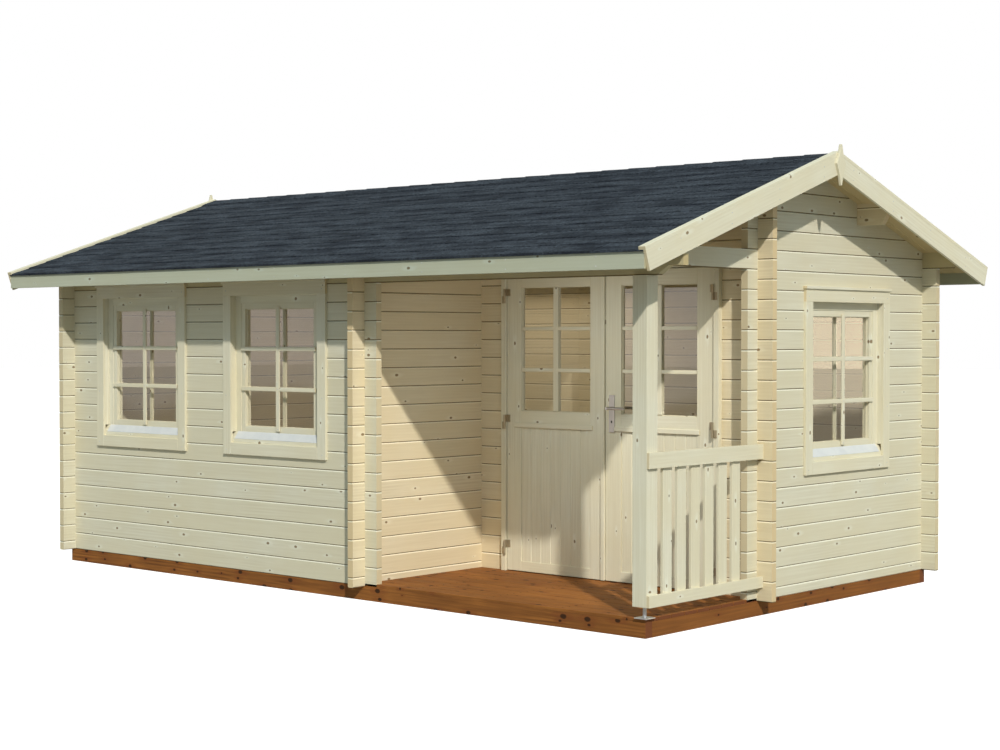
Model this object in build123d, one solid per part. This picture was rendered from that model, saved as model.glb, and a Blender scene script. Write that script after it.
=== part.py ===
from build123d import *
import os
from math import ceil, cos, sin, tan, radians

# Log cabin with a covered corner porch, in millimetres.
# The frame stands on the ground: z = 0 is the underside of the bearers, x = 0 and y = 0 are the
# middle of the cabin. +X runs along the ridge to the porch gable, +Y runs from the eave with the
# windows to the plain eave at the back.

os.makedirs("parts", exist_ok=True)

# Plan, between wall centrelines
cabin_length = 5051.0
cabin_depth = 2936.0
porch_width = 2111.0
porch_depth = 1044.0

# Logs: the walls along X have full courses, and the walls across start with half a log
log_thickness = 44.0
log_height = 114.0
log_groove = 5.0
log_end = 100.0
wall_course_count = 18
beam_course_count = 2
cut_margin = 1.0

# Ground frame, floor and deck
bearer_height = 85.0
bearer_width = 58.0
joist_width = 45.0
joist_spacing = 560.0
board_thickness = 19.0

# Roof
roof_pitch = 18.5
roof_bevel = 20.6
roof_board = 19.0
shingle_thickness = 6.0
shingle_drip = 10.0
gable_overhang = 280.0
eave_overhang = 355.0
fascia_height = 90.0
fascia_thickness = 18.0
barge_depth = 110.0
barge_thickness = 18.0
barge_foot = 10.0
cap_width = 45.0
cap_thickness = 19.0
purlin_width = 44.0
purlin_height = 122.0
purlin_offset = 658.0
purlin_end_cut = 70.0
plate_end_cut = 35.0
bracket_length = 95.0
bracket_run = 72.0
bracket_rise = 48.0

# Gable finials
finial_width = 100.0
finial_tip = 12.0
finial_thickness = 16.0
finial_above = 36.0
finial_below = 64.0
finial_neck = 46.0
finial_neck_drop = 66.0
finial_ear_drop = 112.0
finial_tail = 36.0
finial_tail_drop = 178.0

# Porch post, foot and railing
post_size = 94.0
post_foot_height = 63.0
foot_plate = 80.0
foot_plate_thickness = 5.0
foot_rod = 20.0
rail_thickness = 18.0
top_rail_height = 85.0
top_rail_top = 981.0
bottom_rail_height = 64.0
baluster_width = 78.0
baluster_thickness = 18.0
baluster_count = 6
baluster_end_gap = 107.0

# Windows, all of one size: lengths are measured from the clear opening inside the casing
window_width = 818.0
casing_width = 75.0
casing_thickness = 18.0
window_log_gap = 6.0
window_low_gap = 22.0
window_settling_gap = 59.0
window_rebate = 16.0
window_drip_height = 17.0
window_drip_proud = 28.0
window_drip_end = 8.0
window_frame_face = 48.0
window_frame_setback = 30.0
window_jamb_lap = 24.0
window_sill_face = 71.0
window_sill_lip = 24.0
window_frame_depth = 100.0
window_sash_face = 37.0
window_sash_thickness = 50.0
window_sash_setback = 34.0
glass_thickness = 4.0
front_window_share = 0.2313
front_window_course_count = 7
gable_window_course_count = 6
window_course_count = 9

# Double door
beside_door = 228.0
leaf_thickness = 40.0
door_gap = 5.0
door_jamb = 26.0
door_log_gap = 4.0
door_casing = 37.0
door_casing_proud = 34.0
door_inner_casing = 60.0
door_inner_casing_thickness = 16.0
leaf_setback = 12.0
door_stop = 17.0
door_course_count = 17
leaf_floor_gap = 6.0
threshold_height = 22.0
stile_width = 117.0
leaf_top_rail = 92.0
leaf_bottom_rail = 62.0
leaf_mid_rail = 105.0
leaf_panel_height = 844.0
panel_thickness = 18.0
meeting_strip_width = 27.0
meeting_strip_thickness = 12.0
hinge_radius = 7.0
hinge_side_count = 8
hinge_height = 90.0
hinge_leaf_width = 26.0
hinge_leaf_thickness = 3.0
hinge_end_offset = 145.0
hinge_stand_off = 9.0
hinge_play = 0.5
handle_plate_width = 40.0
handle_plate_height = 225.0
handle_plate_above = 80.0
handle_plate_thickness = 8.0
handle_backset = 50.0
handle_height = 1156.0
lever_length = 125.0
lever_radius = 9.0
lever_stand_off = 45.0

# Places that follow from the driving dimensions
half_log = log_height / 2
half_wall = log_thickness / 2
quarter = log_height / 4
reach = half_wall + log_end
x_left = -cabin_length / 2
x_right = cabin_length / 2
x_porch = x_right - porch_width
room_length = x_porch - x_left
y_front = -cabin_depth / 2
y_back = cabin_depth / 2
y_porch = y_front + porch_depth
wall_base = bearer_height
floor_top = bearer_height + board_thickness
wall_top = wall_base + wall_course_count * log_height
plate_bottom = wall_top - log_height
beam_bottom = wall_top - beam_course_count * log_height
side_beam_bottom = beam_bottom + half_log

slope = tan(radians(roof_pitch))
fall = cos(radians(roof_pitch))
lean = sin(radians(roof_pitch))
roof_underside = wall_top - roof_bevel + slope * cabin_depth / 2
boards_top = roof_underside + roof_board / fall
ridge_height = boards_top + shingle_thickness / fall
roof_half_length = cabin_length / 2 + gable_overhang
verge = roof_half_length - barge_thickness
eave = cabin_depth / 2 + eave_overhang
over_roof = ridge_height + log_height

outer_x0 = x_left - half_wall
outer_x1 = x_right + half_wall
outer_y0 = y_front - half_wall
outer_y1 = y_back + half_wall
ends_x0 = x_left - reach
ends_x1 = x_right + reach
ends_y0 = y_front - reach
ends_y1 = y_back + reach


def block(x0, x1, y0, y1, z0, z1):
    """A plain block between two corners."""
    return Pos((x0 + x1) / 2, (y0 + y1) / 2, (z0 + z1) / 2) * Box(x1 - x0, y1 - y0, z1 - z0)


def along_x(outline, x0, x1):
    """A bar with a Y-Z outline, between two places along X."""
    return extrude(Plane.YZ.offset(x0) * make_face(outline), amount=x1 - x0)


def along_y(outline, y0, y1):
    """A bar with an X-Z outline, between two places along Y."""
    plane = Plane(origin=(0, y1, 0), x_dir=(1, 0, 0), z_dir=(0, -1, 0))
    return extrude(plane * make_face(outline), amount=y1 - y0)


def upright(outline, z0, z1):
    """A bar with an X-Y outline, between two heights."""
    return extrude(Plane.XY.offset(z0) * make_face(outline), amount=z1 - z0)


def outline(*points):
    return Polyline(*points, close=True)


def fuse(solids):
    """One solid made of several that touch or overlap."""
    return solids[0].fuse(*solids[1:]) if len(solids) > 1 else solids[0]


def cut(solid, tools):
    """A solid with all of the tools taken out of it."""
    return solid.cut(*tools) if tools else solid


def underside(y):
    """Height of the roof boards' lower face above a place across the cabin."""
    return roof_underside - slope * abs(y)


def above_roof():
    """Everything above the lower face of the roof boards, to trim the walls with."""
    side = eave + log_height
    top = over_roof + log_height
    shape = outline((-side, underside(side)), (0, roof_underside), (side, underside(side)),
                    (side, top), (-side, top))
    long = roof_half_length + log_height
    return along_x(shape, -long, long)


roof_space = above_roof()


def log_outline(middle, z0, z1):
    """A log's section, with its four long edges eased so that two logs leave a V groove."""
    near = middle - half_wall
    far = middle + half_wall
    ease = log_groove
    return outline((near, z0 + ease), (near + ease, z0), (far - ease, z0), (far, z0 + ease),
                   (far, z1 - ease), (far - ease, z1), (near + ease, z1), (near, z1 - ease))


def log_x(x0, x1, y, z0, z1):
    return along_x(log_outline(y, z0, z1), x0, x1)


def log_y(x, y0, y1, z0, z1):
    return along_y(log_outline(x, z0, z1), y0, y1)


def full_courses(lowest, count):
    """Bottom and top of logs that run along X."""
    start = wall_base + lowest * log_height
    return [(start + n * log_height, start + (n + 1) * log_height) for n in range(count)]


def cross_courses(top):
    """Bottom and top of the logs that run along Y: a half log, then full ones."""
    first = wall_base + half_log
    count = ceil((top - first) / log_height)
    return [(wall_base, first)] + [
        (first + n * log_height, first + (n + 1) * log_height) for n in range(count)]


def cores(start, low, high):
    """Where one wall's logs fill a crossing: half of each log's height, from a start upwards."""
    spans = []
    z0 = start
    while z0 < high:
        bottom = max(z0, low)
        top = min(z0 + half_log, high)
        if top > bottom:
            spans.append((bottom, top))
        z0 += log_height
    return spans


def x_log_cores(low, high):
    return cores(wall_base + quarter, low, high)


def y_log_cores(low, high):
    return cores(wall_base - quarter, low, high)


def notches_in_x_wall(x, y, spans):
    """Slots in a wall along X where the crossing wall's logs pass."""
    side = half_wall + cut_margin
    return [block(x - half_wall, x + half_wall, y - side, y + side, z0, z1) for z0, z1 in spans]


def notches_in_y_wall(x, y, spans):
    """Slots in a wall along Y where the crossing wall's logs pass."""
    side = half_wall + cut_margin
    return [block(x - side, x + side, y - half_wall, y + half_wall, z0, z1) for z0, z1 in spans]


def wall_along_x(x0, x1, y, heights, tools, plain=None):
    """Logs along X. Between two plain ends the room's side has tight joints with no groove."""
    solids = [log_x(x0, x1, y, z0, z1) for z0, z1 in heights]
    if plain:
        far = y + half_wall
        solids.append(block(plain[0], plain[1], far - log_groove, far,
                            heights[0][0], heights[-1][1]))
    return cut(fuse(solids), tools)


def wall_along_y(x, y0, y1, heights, tools, plain=None):
    """Logs along Y, with the same choice for the side that faces -X."""
    solids = [log_y(x, y0, y1, z0, z1) for z0, z1 in heights]
    if plain:
        near = x - half_wall
        solids.append(block(near, near + log_groove, plain[0], plain[1],
                            heights[0][0], heights[-1][1]))
    return cut(fuse(solids), tools)


parts = {}


# Doorway: local y = 0 is the outer face of the porch wall
door_middle = (x_porch + x_right) / 2
door_log_half = porch_width / 2 - beside_door
door_clear = door_log_half - door_log_gap - door_jamb
leaf_width = door_clear - 3 * door_gap / 2
door_log_top = wall_base + door_course_count * log_height


# Ground frame, floor and deck
def long_bearers():
    front = block(outer_x0, outer_x1, outer_y0, outer_y0 + bearer_width, 0, bearer_height)
    back = block(outer_x0, outer_x1, outer_y1 - bearer_width, outer_y1, 0, bearer_height)
    return [front, back]


def cross_bearers():
    y0 = outer_y0 + bearer_width
    y1 = outer_y1 - bearer_width
    clear = outer_x1 - outer_x0 - bearer_width
    bays = ceil(clear / joist_spacing)
    bearers = []
    for n in range(bays + 1):
        x = outer_x0 + bearer_width / 2 + n * clear / bays
        width = bearer_width if n in (0, bays) else joist_width
        bearers.append(block(x - width / 2, x + width / 2, y0, y1, 0, bearer_height))
    return bearers


def floor():
    """Floor boards inside the walls, in two rectangles that make the room's L."""
    x0 = x_left + half_wall
    y0 = y_front + half_wall
    y1 = y_back - half_wall
    front_part = block(x0, x_porch - half_wall, y0, y1, bearer_height, floor_top)
    rear_part = block(x_porch - half_wall, x_right - half_wall, y_porch + half_wall, y1,
                      bearer_height, floor_top)
    log_stubs = [
        block(x_porch - reach, x_porch + half_wall, y_porch - half_wall, y_porch + half_wall,
              bearer_height, floor_top),
        block(x_porch - half_wall, x_porch + half_wall, y_porch - half_wall, y_porch + reach,
              bearer_height, floor_top)]
    return cut(fuse([front_part, rear_part]), log_stubs)


def porch_deck():
    """Deck boards under the porch, out to the faces of the bearers and into the doorway."""
    deck = block(x_porch + half_wall, outer_x1, outer_y0, y_porch - half_wall,
                 bearer_height, floor_top)
    doorway = block(door_middle - door_log_half, door_middle + door_log_half,
                    y_porch - half_wall, y_porch + half_wall, bearer_height, floor_top)
    front_ends = block(x_porch + half_wall, x_porch + reach, y_front - half_wall,
                       y_front + half_wall, bearer_height, floor_top)
    gable_ends = block(x_right - half_wall, x_right + half_wall, y_porch - reach,
                       y_porch - half_wall, bearer_height, floor_top)
    return cut(fuse([deck, doorway]), [front_ends, gable_ends])


parts["long_bearers"] = long_bearers()
parts["cross_bearers"] = cross_bearers()
parts["floor"] = floor()
parts["porch_deck"] = porch_deck()


# Walls
window_opening_height = window_course_count * log_height
window_opening_half = window_width / 2 + window_jamb_lap + window_log_gap
window_height = window_opening_height - window_low_gap - window_settling_gap

front_middle = (x_left + x_porch) / 2
front_windows = [front_middle - front_window_share * room_length,
                 front_middle + front_window_share * room_length]
front_window_base = wall_base + front_window_course_count * log_height
gable_window_y = (y_porch + y_back) / 2
gable_window_base = wall_base + half_log + gable_window_course_count * log_height


def window_hole_x(x, y, z0):
    """The hole for a window in a wall along X, from one log joint to another."""
    return block(x - window_opening_half, x + window_opening_half, y - log_height,
                 y + log_height, z0, z0 + window_opening_height)


def window_hole_y(x, y, z0):
    """The hole for a window in a wall along Y, from one log joint to another."""
    return block(x - log_height, x + log_height, y - window_opening_half,
                 y + window_opening_half, z0, z0 + window_opening_height)


def purlin_bottom(y):
    return underside(y) - purlin_height


def purlin_holes(x):
    """Slots for the purlins in a wall along Y."""
    half = purlin_width / 2
    return [block(x - log_height, x + log_height, y - half, y + half, purlin_bottom(y), over_roof)
            for y in (-purlin_offset, 0.0, purlin_offset)]


def front_wall():
    tools = [window_hole_x(x, y_front, front_window_base) for x in front_windows]
    for x in (x_left, x_porch):
        tools += notches_in_x_wall(x, y_front, y_log_cores(wall_base, beam_bottom))
    heights = full_courses(0, wall_course_count - beam_course_count)
    plain = (x_left + half_wall, x_porch - half_wall)
    return wall_along_x(ends_x0, x_porch + reach, y_front, heights, tools, plain)


def plate_end_cut_at(side, y):
    """The slanted cut under an end of a top log that runs out to the barge boards."""
    tip = side * verge
    foot = side * (verge - plate_end_cut)
    past = side * (verge + log_height)
    shape = outline((foot, plate_bottom), (tip, plate_bottom + half_log),
                    (past, plate_bottom + half_log), (past, plate_bottom - cut_margin),
                    (foot, plate_bottom - cut_margin))
    return along_y(shape, y - log_height, y + log_height)


def bracket_cut():
    """The slant and step under the porch end of the front's lower beam log."""
    step = verge - bracket_length
    below = beam_bottom - cut_margin
    shape = outline((step - bracket_run, beam_bottom), (step, beam_bottom + bracket_rise),
                    (verge + log_height, beam_bottom + bracket_rise),
                    (verge + log_height, below), (step - bracket_run, below))
    return along_y(shape, y_front - log_height, y_front + log_height)


def front_beam():
    """The two top logs of the front, which run on over the porch to the post."""
    lower = log_x(ends_x0, verge, y_front, beam_bottom, plate_bottom)
    upper = log_x(-verge, verge, y_front, plate_bottom, wall_top)
    tools = [roof_space, plate_end_cut_at(-1, y_front), bracket_cut()]
    for x in (x_left, x_porch):
        tools += notches_in_x_wall(x, y_front, y_log_cores(beam_bottom, wall_top))
    tools += notches_in_x_wall(x_right, y_front, y_log_cores(
        side_beam_bottom, side_beam_bottom + log_height))
    return cut(fuse([lower, upper]), tools)


def back_wall():
    tools = []
    for x in (x_left, x_right):
        tools += notches_in_x_wall(x, y_back, y_log_cores(wall_base, plate_bottom))
    heights = full_courses(0, wall_course_count - 1)
    return wall_along_x(ends_x0, ends_x1, y_back, heights, tools)


def back_plate():
    upper = log_x(-verge, verge, y_back, plate_bottom, wall_top)
    tools = [roof_space, plate_end_cut_at(-1, y_back), plate_end_cut_at(1, y_back)]
    for x in (x_left, x_right):
        tools += notches_in_x_wall(x, y_back, y_log_cores(plate_bottom, wall_top))
    return cut(upper, tools)


def left_gable_wall():
    tools = [roof_space] + purlin_holes(x_left)
    for y in (y_front, y_back):
        tools += notches_in_y_wall(x_left, y, x_log_cores(wall_base, wall_top))
    return wall_along_y(x_left, ends_y0, ends_y1, cross_courses(roof_underside), tools)


def right_gable_wall():
    tools = [roof_space] + purlin_holes(x_right)
    tools.append(window_hole_y(x_right, gable_window_y, gable_window_base))
    tools += notches_in_y_wall(x_right, y_porch, x_log_cores(wall_base, underside(y_porch)))
    tools += notches_in_y_wall(x_right, y_back, x_log_cores(wall_base, wall_top))
    return wall_along_y(x_right, y_porch - reach, ends_y1, cross_courses(roof_underside), tools)


def porch_side_wall():
    tools = [roof_space] + purlin_holes(x_porch)
    tools += notches_in_y_wall(x_porch, y_front, x_log_cores(wall_base, wall_top))
    tools += notches_in_y_wall(x_porch, y_porch, x_log_cores(wall_base, over_roof))
    heights = cross_courses(underside(y_porch + reach))
    plain = (y_front + half_wall, y_porch - half_wall)
    return wall_along_y(x_porch, ends_y0, y_porch + reach, heights, tools, plain)


def porch_side_beam():
    """The log from the gable to the post, over the open side of the porch."""
    beam = log_y(x_right, ends_y0, y_porch - reach, side_beam_bottom,
                 side_beam_bottom + log_height)
    tools = [roof_space] + notches_in_y_wall(x_right, y_front, x_log_cores(wall_base, wall_top))
    return cut(beam, tools)


def porch_wall_piece(x0, x1, heights, crossings):
    tools = [roof_space]
    for x in crossings:
        tools += notches_in_x_wall(x, y_porch, y_log_cores(wall_base, over_roof))
    plain = (max(x0, x_porch + half_wall), min(x1, x_right - half_wall))
    return wall_along_x(x0, x1, y_porch, heights, tools, plain)


def porch_wall_left():
    heights = full_courses(0, door_course_count)
    return porch_wall_piece(x_porch - reach, door_middle - door_log_half, heights, [x_porch])


def porch_wall_right():
    heights = full_courses(0, door_course_count)
    return porch_wall_piece(door_middle + door_log_half, ends_x1, heights, [x_right])


def porch_wall_top():
    count = ceil((underside(y_porch) - door_log_top) / log_height)
    heights = full_courses(door_course_count, count)
    return porch_wall_piece(x_porch - reach, ends_x1, heights, [x_porch, x_right])


parts["front_wall"] = front_wall()
parts["front_beam"] = front_beam()
parts["back_wall"] = back_wall()
parts["back_plate"] = back_plate()
parts["left_gable_wall"] = left_gable_wall()
parts["right_gable_wall"] = right_gable_wall()
parts["porch_side_wall"] = porch_side_wall()
parts["porch_side_beam"] = porch_side_beam()
parts["porch_wall_left"] = porch_wall_left()
parts["porch_wall_right"] = porch_wall_right()
parts["porch_wall_top"] = porch_wall_top()


# Roof
def slab(side, y_outer, top, thickness):
    """A sloping slab on one side of the ridge, plumb at its lower edge."""
    drop = thickness / fall
    y1 = side * y_outer
    shape = outline((0, top), (y1, top - slope * y_outer), (y1, top - slope * y_outer - drop),
                    (0, top - drop))
    return along_x(shape, -verge, verge)


def purlins():
    solids = []
    half = purlin_width / 2
    tip = verge - purlin_end_cut
    for y in (-purlin_offset, 0.0, purlin_offset):
        bottom = purlin_bottom(y)
        top = bottom + purlin_height
        shape = outline((-tip, bottom), (tip, bottom), (verge, top), (verge, top + log_height),
                        (-verge, top + log_height), (-verge, top))
        solids.append(cut(along_y(shape, y - half, y + half), [roof_space]))
    return solids


def barge(side):
    """One sloping board under the cap, cut square at its foot and plumb at the ridge."""
    foot_y = eave + barge_foot
    foot_z = ridge_height - slope * foot_y
    toe_y = foot_y - barge_depth * lean
    toe_z = foot_z - barge_depth * fall
    return outline((0, ridge_height), (side * foot_y, foot_z), (side * toe_y, toe_z),
                   (0, ridge_height - barge_depth / fall))


def cap(side):
    """The strip that lies on the barge board's top edge and the edge of the shingles."""
    foot_y = eave + barge_foot
    foot_z = ridge_height - slope * foot_y
    top_y = foot_y + cap_thickness * lean
    top_z = foot_z + cap_thickness * fall
    return outline((0, ridge_height), (side * foot_y, foot_z), (side * top_y, top_z),
                   (0, ridge_height + cap_thickness / fall))


def at_gable(shape, gable, width):
    """A board cut to an outline, with its outer face at the end of the roof."""
    start = roof_half_length - width if gable > 0 else -roof_half_length
    return along_x(shape, start, start + width)


def fascia(side):
    y1 = side * eave
    y0 = side * (eave - fascia_thickness)
    top_outer = boards_top - slope * eave
    top_inner = boards_top - slope * (eave - fascia_thickness)
    bottom = top_outer - fascia_height
    shape = outline((y1, top_outer), (y0, top_inner), (y0, bottom), (y1, bottom))
    return along_x(shape, -verge, verge)


def finial(gable):
    """A board over the joint of two barge boards, pointed above and below its two ears."""
    top = ridge_height + cap_thickness / fall + finial_above
    bottom = ridge_height - barge_depth / fall - finial_below
    right = [(finial_tip / 2, top), (finial_neck / 2, top - finial_neck_drop),
             (finial_width / 2, top - finial_ear_drop),
             (finial_tail / 2, top - finial_tail_drop), (finial_tip / 2, bottom)]
    left = [(-y, z) for y, z in reversed(right)]
    start = roof_half_length if gable > 0 else -roof_half_length - finial_thickness
    return along_x(outline(*right, *left), start, start + finial_thickness)


parts["purlins"] = purlins()
for side_name, side in (("front", -1), ("back", 1)):
    parts["roof_boards_" + side_name] = slab(
        side, eave - fascia_thickness, boards_top, roof_board)
    parts["shingles_" + side_name] = slab(
        side, eave + shingle_drip, ridge_height, shingle_thickness)
    parts[side_name + "_fascia"] = fascia(side)
    parts["left_barge_" + side_name] = at_gable(barge(side), -1, barge_thickness)
    parts["right_barge_" + side_name] = at_gable(barge(side), 1, barge_thickness)
    parts["barge_caps_" + side_name] = [
        at_gable(cap(side), -1, cap_width), at_gable(cap(side), 1, cap_width)]
parts["finials"] = [finial(-1), finial(1)]


# Windows: every window is built facing -Y at the origin of its own plane and then placed
window_half = window_width / 2
sash_half = window_half - window_frame_face
sash_bottom = window_sill_face
sash_top = window_height - window_frame_face


def window_casing():
    """Boards on the logs' outer face: a drip strip and the head board over two uprights."""
    over = window_half + casing_width
    under = -casing_width
    front = -casing_thickness
    head = block(-over, over, front, 0, window_height, window_height + casing_width)
    left = block(-over, -window_half, front, 0, under, window_height)
    right = block(window_half, over, front, 0, under, window_height)
    sill = block(-window_half, window_half, front, 0, under, 0)
    drip_end = over + window_drip_end
    drip_base = window_height + casing_width
    drip = block(-drip_end, drip_end, -window_drip_proud, 0, drip_base,
                 drip_base + window_drip_height)
    return [head, left, right, sill, drip]


def window_jamb(side):
    """An upright with a rebate: its outer part lines the cut logs, its inner part stands back."""
    shape = outline((side * window_half, 0), (side * (window_half + window_jamb_lap), 0),
                    (side * (window_half + window_jamb_lap), window_frame_depth),
                    (side * sash_half, window_frame_depth),
                    (side * sash_half, window_frame_setback),
                    (side * window_half, window_frame_setback))
    return upright(shape, window_sill_face, window_height + window_rebate)


def window_head():
    shape = outline((0, window_height), (0, window_height + window_rebate),
                    (window_frame_depth, window_height + window_rebate),
                    (window_frame_depth, sash_top), (window_frame_setback, sash_top),
                    (window_frame_setback, window_height))
    return along_x(shape, -sash_half, sash_half)


def window_sill():
    """The bottom piece, with a low lip and a slope that sheds water."""
    shape = outline((0, -window_rebate), (0, window_sill_lip),
                    (window_frame_setback, window_sill_face),
                    (window_frame_depth, window_sill_face),
                    (window_frame_depth, -window_rebate))
    half = window_half + window_jamb_lap
    return along_x(shape, -half, half)


def window_frame():
    return window_casing() + [window_jamb(-1), window_jamb(1), window_head(), window_sill()]


def window_sash():
    """Two stiles and two rails around the glass."""
    y0 = window_sash_setback
    y1 = y0 + window_sash_thickness
    face = window_sash_face
    inner = sash_half - face
    return [block(-sash_half, -inner, y0, y1, sash_bottom, sash_top),
            block(inner, sash_half, y0, y1, sash_bottom, sash_top),
            block(-inner, inner, y0, y1, sash_bottom, sash_bottom + face),
            block(-inner, inner, y0, y1, sash_top - face, sash_top)]


def window_pane():
    half = sash_half - window_sash_face
    y = window_sash_setback + window_sash_thickness / 2
    return block(-half, half, y - glass_thickness / 2, y + glass_thickness / 2,
                 sash_bottom + window_sash_face, sash_top - window_sash_face)


window_places = [Pos(x, outer_y0, front_window_base + window_low_gap) for x in front_windows]
window_places.append(
    Pos(outer_x1, gable_window_y, gable_window_base + window_low_gap) * Rot(0, 0, 90))
window_names = ["front_window_left", "front_window_right", "gable_window"]
for name, place in zip(window_names, window_places):
    parts[name + "_frame"] = [place * piece for piece in window_frame()]
parts["window_sashes"] = [place * piece for place in window_places for piece in window_sash()]
parts["window_glass"] = [place * window_pane() for place in window_places]


# Double door, built on the outer face of the porch wall with its middle at local x = 0
door_plane = Pos(door_middle, y_porch - half_wall, 0)
door_head = door_log_top - door_log_gap - door_jamb
leaf_bottom = floor_top + leaf_floor_gap
leaf_top = door_head - door_gap
casing_front = -door_casing_proud
leaf_front = casing_front + leaf_setback
leaf_back = leaf_front + leaf_thickness
stop_front = leaf_back + door_gap
stop_clear = door_clear - door_stop
mid_rail_bottom = leaf_bottom + leaf_bottom_rail + leaf_panel_height
mid_rail_top = mid_rail_bottom + leaf_mid_rail
glass_top = leaf_top - leaf_top_rail
hinge_x = door_clear
hinge_y = casing_front - hinge_stand_off


def mirrored(solid):
    return mirror(solid, Plane.YZ)


def door_casing_boards():
    """The boards on the logs' outer face: two uprights with the head between them."""
    upright_board = block(door_clear, door_clear + door_casing, casing_front, 0,
                          floor_top, door_head + door_casing)
    head = block(-door_clear, door_clear, casing_front, 0, door_head, door_head + door_casing)
    return [upright_board, mirrored(upright_board), head]


def door_jambs():
    """Uprights and head that line the cut logs, each with a stop behind the leaves."""
    wall = log_thickness
    out = door_clear + door_jamb
    shape = outline((door_clear, 0), (out, 0), (out, wall), (stop_clear, wall),
                    (stop_clear, stop_front), (door_clear, stop_front))
    jamb = upright(shape, floor_top, door_head + door_jamb)
    head = fuse([
        block(-door_clear, door_clear, 0, stop_front, door_head, door_head + door_jamb),
        block(-stop_clear, stop_clear, stop_front, wall, door_head - door_stop,
              door_head + door_jamb)])
    return [jamb, mirrored(jamb), head]


def door_inner_boards():
    """The boards on the logs' inner face."""
    y0 = log_thickness
    y1 = y0 + door_inner_casing_thickness
    out = door_clear + door_inner_casing
    upright_board = block(stop_clear, out, y0, y1, floor_top, door_head + door_inner_casing)
    head = block(-stop_clear, stop_clear, y0, y1, door_head - door_stop,
                 door_head + door_inner_casing)
    return [upright_board, mirrored(upright_board), head]


def door_threshold():
    return block(-stop_clear, stop_clear, stop_front,
                 log_thickness + door_inner_casing_thickness,
                 floor_top, floor_top + threshold_height)


def leaf():
    """Two stiles, three rails and a panel. The meeting edge is at local x = 0."""
    inner = leaf_width - stile_width
    recess = (leaf_thickness - panel_thickness) / 2
    low = leaf_bottom + leaf_bottom_rail
    return [
        block(0, stile_width, leaf_front, leaf_back, leaf_bottom, leaf_top),
        block(inner, leaf_width, leaf_front, leaf_back, leaf_bottom, leaf_top),
        block(stile_width, inner, leaf_front, leaf_back, glass_top, leaf_top),
        block(stile_width, inner, leaf_front, leaf_back, mid_rail_bottom, mid_rail_top),
        block(stile_width, inner, leaf_front, leaf_back, leaf_bottom, low),
        block(stile_width, inner, leaf_front + recess, leaf_back - recess, low,
              mid_rail_bottom)]


def leaf_pane():
    y = (leaf_front + leaf_back) / 2
    return block(stile_width, leaf_width - stile_width, y - glass_thickness / 2,
                 y + glass_thickness / 2, mid_rail_top, glass_top)


def to_right(solid):
    return door_plane * Pos(door_gap / 2, 0, 0) * solid


def to_left(solid):
    return door_plane * Pos(-door_gap / 2, 0, 0) * mirrored(solid)


def meeting_strip():
    return block(0, meeting_strip_width, leaf_front - meeting_strip_thickness, leaf_front,
                 leaf_bottom, leaf_top)


hinge_low = leaf_bottom + hinge_end_offset
hinge_high = leaf_top - hinge_end_offset
hinge_heights = [hinge_low, (hinge_low + hinge_high) / 2, hinge_high]


def hinge_knuckle(z0, z1):
    """A knuckle with a few flat sides, as small pieces that repeat need no more."""
    section = Pos(hinge_x, hinge_y, z0) * RegularPolygon(hinge_radius, hinge_side_count)
    return extrude(section, amount=z1 - z0)


def frame_hinge(z):
    """The half on the casing: the lower knuckle and its flap on the casing's face."""
    z0 = z - hinge_height / 2
    flap = block(hinge_x, hinge_x + hinge_leaf_width, casing_front - hinge_leaf_thickness,
                 casing_front, z0, z)
    web = block(hinge_x, hinge_x + hinge_leaf_thickness, hinge_y, casing_front, z0, z)
    return fuse([hinge_knuckle(z0, z), flap, web])


def leaf_hinge(z):
    """The half on the leaf: the upper knuckle and its cranked flap on the leaf's face."""
    z0 = z + hinge_play
    z1 = z + hinge_height / 2
    edge = hinge_x - door_gap
    flap = block(edge - hinge_leaf_width, edge, leaf_front - hinge_leaf_thickness, leaf_front,
                 z0, z1)
    web = block(edge - hinge_leaf_thickness, edge, hinge_y, leaf_front, z0, z1)
    arm = block(edge - hinge_leaf_thickness, hinge_x - door_gap / 2,
                hinge_y - hinge_leaf_thickness / 2, hinge_y + hinge_leaf_thickness / 2, z0, z1)
    return fuse([hinge_knuckle(z0, z1), flap, web, arm])


def handle():
    """Long plate, neck and lever on the right leaf's meeting stile."""
    x = handle_backset
    front = leaf_front - handle_plate_thickness
    plate_top = handle_height + handle_plate_above
    plate = block(x - handle_plate_width / 2, x + handle_plate_width / 2, front, leaf_front,
                  plate_top - handle_plate_height, plate_top)
    neck_length = lever_stand_off + lever_radius
    neck = Pos(x, front - neck_length / 2, handle_height) * Rot(90, 0, 0) * Cylinder(
        lever_radius, neck_length)
    lever = Pos(x + lever_length / 2, front - lever_stand_off, handle_height) * Rot(
        0, 90, 0) * Cylinder(lever_radius, lever_length)
    return fuse([plate, neck, lever])


parts["door_frame"] = [door_plane * piece for piece in
                       door_casing_boards() + door_jambs() + door_inner_boards()
                       + [door_threshold()]]
parts["right_leaf"] = [to_right(piece) for piece in leaf()]
parts["left_leaf"] = [to_left(piece) for piece in leaf() + [meeting_strip()]]
parts["right_leaf_glass"] = to_right(leaf_pane())
parts["left_leaf_glass"] = to_left(leaf_pane())
parts["handle"] = to_right(handle())
parts["frame_hinges"] = [door_plane * frame_hinge(z) for z in hinge_heights] + [
    door_plane * mirrored(frame_hinge(z)) for z in hinge_heights]
parts["right_leaf_hinges"] = [door_plane * leaf_hinge(z) for z in hinge_heights]
parts["left_leaf_hinges"] = [door_plane * mirrored(leaf_hinge(z)) for z in hinge_heights]


# Porch post and railing
post_half = post_size / 2
post_bottom = floor_top + post_foot_height
rail_x = x_right + post_half


def post():
    return block(x_right - post_half, x_right + post_half, y_front - post_half,
                 y_front + post_half, post_bottom, beam_bottom)


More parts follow.
